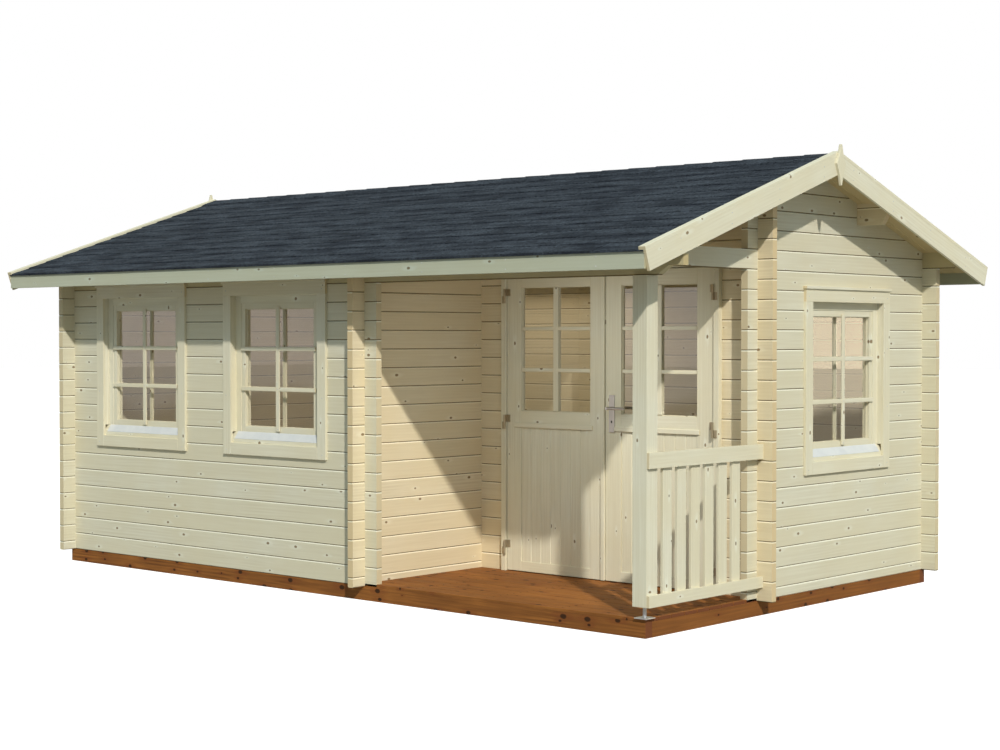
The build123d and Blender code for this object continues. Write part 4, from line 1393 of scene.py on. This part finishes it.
class CABIN_OT_roof(bpy.types.Operator):
    """Lay the roof boards, the shingle courses and the ridge caps"""

    bl_idname = "cabin.roof"
    bl_label = "Roof"

    def execute(self, context):
        look = context.scene.cabin.roof
        for side, sign in (("front", -1), ("back", 1)):
            self.boards(look, side, sign)
            self.shingles(look, side, sign)
        self.ridge(look)
        return {"FINISHED"}

    def slope(self, side):
        """The slope's top surface: height at the ridge, reach across and fall of the felt."""
        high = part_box("shingles_" + side)[1]
        points = [vertex.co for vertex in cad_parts["shingles_" + side].data.vertices]
        edge = max(abs(point.y) for point in points)
        edge_top = max(point.z for point in points if abs(abs(point.y) - edge) < NEAR)
        return high.z, edge, (high.z - edge_top) / edge

    def boards(self, look, side, sign):
        """Grooved boards from the ridge to the eave, in the place of one slope's slab."""
        low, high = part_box("roof_boards_" + side)
        points = [vertex.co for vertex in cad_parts["roof_boards_" + side].data.vertices]
        ridge = [point.z for point in points if abs(point.y) < NEAR]
        reach = max(abs(point.y) for point in points)
        foot = [point.z for point in points if abs(abs(point.y) - reach) < NEAR]
        step = (high.x - low.x) / look.board_count
        groove = look.groove
        timber = Timber(60 + sign)
        corners = []
        for y, span in ((0.0, ridge), (sign * reach, foot)):
            bottom = min(span)
            top = max(span)
            for x, z in ((low.x, top), (low.x + step, top), (low.x + step, bottom + groove),
                         (low.x + step - groove, bottom), (low.x + groove, bottom),
                         (low.x, bottom + groove)):
                corners.append(Vector((x, y, z)))
        timber.add(corners, tube_faces(6), 0.0)
        mesh = grown(timber.mesh("roof_board"), row_field(), Count=look.board_count,
                     Step=(step, 0.0, 0.0), Seed=3 + sign, Material=finish("soffit_spruce"))
        show("roof_board_row_" + side, mesh, "cabin", ["roof_boards_" + side])

    def shingles(self, look, side, sign):
        """Courses of tabs on one slope, each tab thicker at its foot."""
        low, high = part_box("shingles_" + side)
        top, reach, fall = self.slope(side)
        width = (high.x - low.x) / look.columns
        run = reach / look.rows
        lap = 0.012
        lift = look.tab_thickness
        half = look.slot / 2
        corner = 0.010
        corner_width = 0.4
        foot_layers = 2.0
        taper = 1.4
        upper = run + lap
        outline = ((half, upper), (half, corner), (half + corner * corner_width, 0.0),
                   (width - half - corner * corner_width, 0.0), (width - half, corner),
                   (width - half, upper))
        points = []
        for raised in (0.0, 1.0):
            for x, up in outline:
                y = sign * (reach - up)
                level = top - fall * abs(y)
                thick = lift * (foot_layers - taper * up / upper)
                points.append(Vector((low.x + x, y, level + SLIT + raised * thick)))
        mesh = plain_mesh("tab", [(points, tube_faces(len(outline)))], finish("mineral_felt"))
        step_up = (0.0, -sign * run, fall * run)
        made = grown(mesh, courses_field(), Columns=look.columns, Rows=look.rows,
                     Along=(width, 0.0, 0.0), Up=step_up, Low_X=low.x, High_X=high.x,
                     Seed=7 + sign, Material=finish("mineral_felt"))
        show("shingle_courses_" + side, made, "cabin")

    def ridge(self, look):
        """Folded caps along the ridge, each over the end of the next."""
        layers_below = 2.4
        low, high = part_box("shingles_front")
        top, _, fall = self.slope("front")
        step = (high.x - low.x) / look.cap_count
        rise = layers_below * look.tab_thickness
        thick = look.tab_thickness
        points = []
        for x, lift in ((low.x, rise + thick), (low.x + step, rise)):
            for y in (-look.cap_width, 0.0, look.cap_width):
                points.append(Vector((x, y, top - fall * abs(y) + lift)))
        lower = [point - Vector((0.0, 0.0, thick)) for point in points]
        faces = [(0, 3, 4, 1), (1, 4, 5, 2), (6, 7, 10, 9), (7, 8, 11, 10), (0, 1, 7, 6),
                 (1, 2, 8, 7), (3, 9, 10, 4), (4, 10, 11, 5), (0, 6, 9, 3), (2, 5, 11, 8)]
        mesh = plain_mesh("cap", [(points + lower, faces)], finish("mineral_felt"))
        made = grown(mesh, row_field(), Count=look.cap_count, Step=(step, 0.0, 0.0), Seed=11,
                     Material=finish("mineral_felt"))
        show("ridge_caps", made, "cabin")


class CABIN_OT_boards(bpy.types.Operator):
    """Lay the boards of the porch deck and of the room's floor"""

    bl_idname = "cabin.boards"
    bl_label = "Deck and floor boards"

    def execute(self, context):
        look = context.scene.cabin.deck
        self.deck(look)
        self.floor(look)
        return {"FINISHED"}

    def deck(self, look):
        """The porch's boards, and one more in the doorway."""
        low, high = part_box("porch_deck")
        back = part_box("porch_wall_left")[0].y
        step = (back - low.y + look.gap) / look.board_count
        timber = Timber(70)
        timber.box(low, (high.x, low.y + step - look.gap, high.z), DECK_EASE)
        mesh = grown(timber.mesh("deck_board"), row_field(), Count=look.board_count,
                     Step=(0.0, step, 0.0), Seed=21, Material=finish("treated_pine"))
        show("deck_boards", mesh, "cabin", ["porch_deck"])
        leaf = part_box("left_leaf")[0].x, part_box("right_leaf")[1].x
        sill = Timber(71)
        sill.box((leaf[0], back + look.gap, low.z), (leaf[1], high.y, high.z), DECK_EASE)
        show("doorway_board", sill.mesh("doorway_board", finish("treated_pine")), "cabin")

    def floor(self, look):
        """The room's boards: short ones beside the porch, then long ones behind it."""
        low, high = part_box("floor")
        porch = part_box("porch_side_wall")
        porch_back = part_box("porch_wall_left")
        step = (high.y - low.y) / look.floor_count
        gap = look.floor_gap
        timber = Timber(80)
        timber.box(low, (porch[0].x, low.y + step - gap, high.z), FLOOR_EASE)
        front_count = math.ceil((porch_back[1].y - low.y) / step)
        mesh = grown(timber.mesh("floor_board"), row_field(), Count=front_count,
                     Step=(0.0, step, 0.0), Seed=22, Material=finish("planed_spruce"))
        show("floor_boards_front", mesh, "cabin")
        long_timber = Timber(81)
        start = low.y + front_count * step
        long_timber.box((low.x, start, low.z), (high.x, start + step - gap, high.z), FLOOR_EASE)
        mesh = grown(long_timber.mesh("long_floor_board"), row_field(),
                     Count=look.floor_count - front_count, Step=(0.0, step, 0.0), Seed=23,
                     Material=finish("planed_spruce"))
        show("floor_boards_back", mesh, "cabin", ["floor"])


class Facing:
    """Places bars on a wall: along it, out from a plane and up."""

    def __init__(self, axis, outward, plane):
        self.axis = axis
        self.outward = outward
        self.plane = plane

    def corners(self, along, out, up):
        """The two corners of a box from its ranges along the wall, out of it and up."""
        low = [0.0, 0.0, up[0]]
        high = [0.0, 0.0, up[1]]
        places = sorted(self.plane + self.outward * value for value in out)
        low[self.axis], high[self.axis] = along
        other = 1 - self.axis
        low[other], high[other] = places
        return low, high

    def point(self, along, out, up):
        """One point on the wall."""
        place = [0.0, 0.0, up]
        place[self.axis] = along
        place[1 - self.axis] = self.plane + self.outward * out
        return Vector(place)


def pane_facing(pane):
    """How a pane faces, from its box: the front panes face -Y and the gable's faces +X."""
    low, high = pane
    if high.x - low.x < high.y - low.y:
        return Facing(1, 1.0, high.x), (low.y, high.y)
    return Facing(0, -1.0, low.y), (low.x, high.x)


def beads(timber, facing, along, low, high, bead):
    """A narrow bead all round a pane, before and behind it."""
    for out in ((SLIT, bead), (-PANE_THICKNESS - bead, -PANE_THICKNESS - SLIT)):
        for start, end in ((along[0], along[0] + bead), (along[1] - bead, along[1])):
            timber.box(*facing.corners((start, end), out, (low, high)), BEAD_EASE)
        for start, end in ((low, low + bead), (high - bead, high)):
            timber.box(*facing.corners((along[0] + bead, along[1] - bead), out, (start, end)),
                       BEAD_EASE)


def grille(timber, facing, out, uprights, levels, widths):
    """One upright between level bars that are cut off at it, all in one plane."""
    middle, low, high = uprights
    start, end, heights = levels
    upright, level = widths
    timber.box(*facing.corners((middle - upright / 2, middle + upright / 2), out, (low, high)),
               BAR_EASE)
    for height in heights:
        for first, last in ((start, middle - upright / 2 - HAIR),
                            (middle + upright / 2 + HAIR, end)):
            timber.box(*facing.corners((first, last), out,
                                       (height - level / 2, height + level / 2)), BAR_EASE)


class CABIN_OT_windows(bpy.types.Operator):
    """Fit the windows' glazing bars and sill covers"""

    bl_idname = "cabin.windows"
    bl_label = "Windows"

    def execute(self, context):
        look = context.scene.cabin.glazing
        panes = [box_of(points) for points, _ in solids_of("window_glass")]
        if len(panes) != 3:
            raise RuntimeError("the windows need three panes")
        timber = Timber(90)
        screws = []
        for pane in panes:
            facing, along = pane_facing(pane)
            low, high = pane[0].z, pane[1].z
            middle = sum(along) / 2
            heights = [high - look.pane_height * number for number in (1, 2)]
            lap = look.bar_lap
            uprights = (middle, low - lap, high + lap / 2)
            levels = (along[0] - lap, along[1] + lap, heights)
            widths = (look.upright_bar, look.level_bar)
            beads(timber, facing, along, low, high, look.bead)
            front = look.sash_front + HAIR
            back = -PANE_THICKNESS - look.sash_back - HAIR
            grille(timber, facing, (front, front + look.bar_thickness), uprights, levels, widths)
            grille(timber, facing, (back - look.bar_thickness, back), uprights, levels, widths)
            screw_out = front + look.bar_thickness
            for place in [*heights, low - lap / 2]:
                screws.append((facing.point(middle, screw_out, place),
                               facing.point(0.0, 1.0, 0.0) - facing.point(0.0, 0.0, 0.0)))
        mesh = fixing_mesh("bar_screws", screws, finish("zinc_coated"),
                           context.scene.cabin.fixings.nail, context.scene.cabin.fixings.proud)
        show("bar_screws", mesh, "cabin")
        show("window_bars", timber.mesh("window_bars", finish("planed_spruce")), "cabin")
        self.sill_covers(look)
        return {"FINISHED"}

    def sill_covers(self, look):
        """A thin sloping cover on each window's sill."""
        tucked_in = 0.001
        past_front = 0.0005
        over_sill = 0.0006
        sheet = 0.002
        nose = 0.003
        parts = []
        frames = (("front_window_left_frame", 0, -1.0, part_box("front_wall")[0].y),
                  ("front_window_right_frame", 0, -1.0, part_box("front_wall")[0].y),
                  ("gable_window_frame", 1, 1.0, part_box("right_gable_wall")[1].x))
        for node, axis, outward, plane in frames:
            low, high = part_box(node)
            facing = Facing(axis, outward, plane)
            inset = look.casing + look.sill_inset
            along = (low[axis] + inset, high[axis] - inset)
            front = low.z + look.casing + look.sill_drop
            section = ((-tucked_in, front + over_sill),
                       (-look.sill_depth, front + look.sill_rise),
                       (-look.sill_depth, front + look.sill_rise + sheet),
                       (past_front, front + nose))
            points = [facing.point(place, out, up) for place in along for out, up in section]
            parts.append((points, tube_faces(len(section))))
        mesh = plain_mesh("sill_covers", parts, finish("sill_white"))
        show("sill_covers", mesh, "cabin")


class CABIN_OT_doors(bpy.types.Operator):
    """Fit the doors' glazing bars, panel boards, weather bars and inner handle"""

    bl_idname = "cabin.doors"
    bl_label = "Double door"

    def execute(self, context):
        look = context.scene.cabin.door
        glazing = context.scene.cabin.glazing
        for number, side in enumerate(("left", "right")):
            self.leaf(look, glazing, side, number)
        self.lock(look)
        return {"FINISHED"}

    def leaf(self, look, glazing, side, number):
        """The bars, beads, weather bar and panel boards of one leaf."""
        past_left = 0.055
        past_right = 0.022
        weather_ease = 0.004
        panel_gap = 0.0005
        node = side + "_leaf"
        body = side + "_door"
        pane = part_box(node + "_glass")
        timber = Timber(100 + number)
        facing, along = pane_facing(pane)
        lower, upper = pane[0].z, pane[1].z
        heights = [upper - (upper - lower) * third / 3 for third in (1, 2)]
        beads(timber, facing, along, lower, upper, glazing.bead)
        inset = glazing.bead
        uprights = (sum(along) / 2, lower + inset, upper - inset)
        levels = (along[0] + inset, along[1] - inset, heights)
        widths = (look.upright_bar, look.level_bar)
        for out in ((SLIT, look.bar_depth),
                    (-PANE_THICKNESS - look.bar_depth, -PANE_THICKNESS - SLIT)):
            grille(timber, facing, out, uprights, levels, widths)
        boxes = [box_of(points) for points, _ in solids_of(node)]
        low, high = self.panel(boxes)
        face = max(box[0].y for box in boxes if box[0].y < low.y)
        timber.box((low.x - past_left, face - look.bar_proud, high.z),
                   (high.x + past_right, face - HAIR, high.z + look.bar_height), weather_ease)
        show(side + "_door_bars", timber.mesh(side + "_door_bars", finish("planed_spruce")), body)
        step = (high.x - low.x) / look.board_count
        outer = low.y - look.board_thickness
        chamfer = 0.004
        outline = ((low.x, low.y), (low.x, outer + chamfer), (low.x + chamfer, outer),
                   (low.x + step - chamfer, outer), (low.x + step, outer + chamfer),
                   (low.x + step, low.y))
        board = Timber(110 + number)
        points, faces = prism(outline, 2, low.z + panel_gap, high.z - panel_gap)
        board.add(points, faces, 0.0)
        mesh = grown(board.mesh("panel_board"), row_field(), Count=look.board_count,
                     Step=(step, 0.0, 0.0), Seed=31 + number, Material=finish("planed_spruce"))
        show(side + "_panel_boards", mesh, body)

    def panel(self, boxes):
        """The box of the thin board that fills the lower part of a leaf."""
        tallest = 1.2
        narrowest = 0.3
        wide = [box for box in boxes if box[1].z - box[0].z < tallest and
                box[1].x - box[0].x > narrowest]
        return min(wide, key=lambda box: box[1].y - box[0].y)

    def lock(self, look):
        """The keyhole on the outer plate, drawn as a thin black shape of painted shade where the
        opening would be, and the outer handle again on the inside.
        """
        corners = 16
        half_width = 0.0055
        drop = 0.010
        rise = 0.007
        before = 0.0012
        behind = 0.0004
        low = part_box("handle")[0]
        leaf_low, leaf_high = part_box("right_leaf")
        plate = max((box_of(points) for points, _ in solids_of("handle")),
                    key=lambda box: box[1].z - box[0].z)
        middle = plate[0].x + HANDLE_PLATE_HALF
        face = leaf_low.y - HANDLE_PLATE_THICKNESS
        height = low.z + look.keyhole_drop
        outline = []
        for step in range(corners):
            angle = math.tau * step / corners
            stretch = drop if math.sin(angle) < 0 else rise
            outline.append((middle + half_width * math.cos(angle),
                            height + stretch * math.sin(angle)))
        mesh = plain_mesh("keyhole", [prism(outline, 1, face - before, face + behind)],
                          finish("lock_black"))
        show("keyhole", mesh, "right_door")
        shift = leaf_low.y + leaf_high.y
        parts = []
        for points, faces in solids_of("handle"):
            turned = [Vector((point.x, shift - point.y, point.z)) for point in points]
            parts.append((turned, faces))
        inner = plain_mesh("inner_handle", parts, finish("brushed_steel"))
        show("inner_handle", inner, "right_door")


class CABIN_OT_fixings(bpy.types.Operator):
    """Drive the screws and nails, and cut the thread of the post's foot"""

    bl_idname = "cabin.fixings"
    bl_label = "Fixings"

    def execute(self, context):
        look = context.scene.cabin.fixings
        self.nails(look)
        self.deck_screws(look)
        self.hinge_screws(look)
        self.foot(look)
        return {"FINISHED"}

    def nails(self, look):
        """Nails along the fascias, the barge boards and the casings."""
        from_foot = 0.02
        from_top = 0.026
        points = []
        for node, outward in (("front_fascia", -1.0), ("back_fascia", 1.0)):
            low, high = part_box(node)
            face = low.y if outward < 0 else high.y
            count = int((high.x - low.x) / look.spacing)
            for number in range(count):
                x = low.x + (number + 0.5) * (high.x - low.x) / count
                for z in (low.z + from_foot, high.z - from_top):
                    points.append(((x, face, z), (0.0, outward, 0.0)))
        for end, outward in (("left", -1.0), ("right", 1.0)):
            for side in ("front", "back"):
                points += self.barge_nails(f"{end}_barge_{side}", outward)
        front = Facing(0, -1.0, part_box("front_wall")[0].y - CASING_PROUD)
        gable = Facing(1, 1.0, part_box("right_gable_wall")[1].x + CASING_PROUD)
        points += self.casing_nails("front_window_left_frame", front, (0.0, -1.0, 0.0))
        points += self.casing_nails("front_window_right_frame", front, (0.0, -1.0, 0.0))
        points += self.casing_nails("gable_window_frame", gable, (1.0, 0.0, 0.0))
        mesh = fixing_mesh("nails", points, finish("zinc_coated"), look.nail, look.proud)
        show("nails", mesh, "cabin")

    def casing_nails(self, node, facing, way):
        """Four nails up each side of a window's casing."""
        from_edge = 0.038
        low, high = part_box(node)
        heights = (low.z + 0.03, low.z + 0.38, low.z + 0.74, high.z - 0.06)
        sides = (low[facing.axis] + from_edge, high[facing.axis] - from_edge)
        return [(facing.point(place, 0.0, height), way) for place in sides for height in heights]

    def barge_nails(self, node, outward):
        """Pairs of nails down a barge board, along its slope."""
        pairs = 4
        low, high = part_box(node)
        face = low.x if outward < 0 else high.x
        sign = -1.0 if low.y < -0.1 else 1.0
        reach = max(abs(low.y), abs(high.y))
        points = [vertex.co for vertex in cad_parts[node].data.vertices]
        at_ridge = [point.z for point in points if abs(point.y) < NEAR]
        fall = math.tan(math.radians(ROOF_PITCH))
        found = []
        for number in range(pairs):
            y = reach * (number + 0.35) / pairs
            for part in (0.25, 0.75):
                z = min(at_ridge) + part * (max(at_ridge) - min(at_ridge)) - fall * y
                found.append(((face, sign * y, z), (outward, 0.0, 0.0)))
        return found

    def deck_screws(self, look):
        """Two screws in each deck board over each joist."""
        deck = bpy.context.scene.cabin.deck
        low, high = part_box("porch_deck")
        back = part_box("porch_wall_left")[0].y
        step = (back - low.y + deck.gap) / deck.board_count
        points = []
        joists = []
        for corners, _ in solids_of("cross_bearers"):
            box = box_of(corners)
            middle = (box[0].x + box[1].x) / 2
            if low.x < middle < high.x:
                joists.append(middle)
        for x in sorted(set(round(value, 4) for value in joists)):
            for number in range(deck.board_count):
                for part in (0.25, 0.75):
                    y = low.y + step * (number + part)
                    points.append(((x, y, high.z), (0.0, 0.0, 1.0)))
        mesh = fixing_mesh("deck_screws", points, finish("brown_zinc"), look.screw, look.proud)
        show("deck_screws", mesh, "cabin")

    def hinge_screws(self, look):
        """Three screws in each hinge plate."""
        thickest_plate = 0.006
        for node, body in (("frame_hinges", "cabin"), ("left_leaf_hinges", "left_door"),
                           ("right_leaf_hinges", "right_door")):
            points = []
            for corners, _ in solids_of(node):
                low, high = box_of(corners)
                if high.y - low.y > thickest_plate:
                    low, high = self.plate_of(corners, low, high)
                middle = (low.x + high.x) / 2
                for part in (0.15, 0.5, 0.85):
                    points.append(((middle, low.y, low.z + part * (high.z - low.z)),
                                   (0.0, -1.0, 0.0)))
            mesh = fixing_mesh(node + "_screws", points, finish("yellow_zinc"), look.nail,
                               look.proud)
            show(node + "_screws", mesh, body)

    def plate_of(self, corners, low, high):
        """The flat part of a hinge half that also has its knuckle."""
        front = max(point.y for point in corners) - HINGE_PLATE_DEPTH
        flat = [point for point in corners if point.y > front - NEAR]
        flat_low, flat_high = box_of(flat)
        return Vector((flat_low.x, front, low.z)), Vector((flat_high.x, front, high.z))

    def foot(self, look):
        """Thread crests on the rod of the post's foot."""
        low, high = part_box("post_foot")
        centre = (low + high) / 2
        root_depth = 0.0004
        crown_height = 0.0010
        root = FOOT_ROD_RADIUS - root_depth
        crown = FOOT_ROD_RADIUS + crown_height
        start = low.z + FOOT_PLATE_THICKNESS
        end = high.z - FOOT_PLATE_THICKNESS
        count = int((end - start) / look.pitch)
        ring = []
        sections = ((root, 0.0), (crown, look.pitch / 2), (root, look.pitch))
        sides = 16
        for size, rise in sections:
            for step in range(sides):
                angle = math.tau * step / sides
                ring.append(Vector((centre.x + size * math.cos(angle),
                                    centre.y + size * math.sin(angle), start + rise)))
        crest = plain_mesh("crest", [(ring, tube_faces(sides, len(sections)))],
                           finish("zinc_coated"))
        mesh = grown(crest, row_field(), Count=count, Step=(0.0, 0.0, look.pitch), Seed=41,
                     Material=finish("zinc_coated"))
        show("foot_thread", mesh, "cabin")


class CABIN_PT_dressing(bpy.types.Panel):
    """The cabin's dressing, in the order of its making"""

    bl_label = "Log Cabin"
    bl_idname = "CABIN_PT_dressing"
    bl_space_type = "VIEW_3D"
    bl_region_type = "UI"
    bl_category = "Cabin"

    def draw(self, context):
        layout = self.layout
        for operator in OPERATORS:
            layout.operator(operator.bl_idname)
        settings = context.scene.cabin
        for part in settings.bl_rna.properties:
            if part.type != "POINTER" or part.identifier == "rna_type":
                continue
            box = layout.box()
            box.label(text=part.name)
            group = getattr(settings, part.identifier)
            for item in group.bl_rna.properties:
                if item.identifier not in ("rna_type", "name"):
                    box.prop(group, item.identifier)


OPERATORS = (CABIN_OT_stage, CABIN_OT_finishes, CABIN_OT_logs, CABIN_OT_timber, CABIN_OT_roof,
             CABIN_OT_boards, CABIN_OT_windows, CABIN_OT_doors, CABIN_OT_fixings)
CLASSES = (CabinSpruce, CabinTreated, CabinRoof, CabinDeck, CabinGlazing, CabinDoor, CabinFixings,
           CabinStage, CabinSettings, *OPERATORS, CABIN_PT_dressing)


def register():
    """Registers the settings, the operators and the panel."""
    for item in CLASSES:
        bpy.utils.register_class(item)
    bpy.types.Scene.cabin = bpy.props.PointerProperty(name="Cabin", type=CabinSettings)


def unregister():
    """Takes the settings, the operators and the panel away again."""
    del bpy.types.Scene.cabin
    for item in reversed(CLASSES):
        bpy.utils.unregister_class(item)


def main():
    """Dresses the cabin."""
    register()
    bpy.ops.cabin.stage()
    bpy.ops.cabin.finishes()
    bpy.ops.cabin.logs()
    bpy.ops.cabin.timber()
    bpy.ops.cabin.roof()
    bpy.ops.cabin.boards()
    bpy.ops.cabin.windows()
    bpy.ops.cabin.doors()
    bpy.ops.cabin.fixings()


if __name__ == "__main__":
    main()
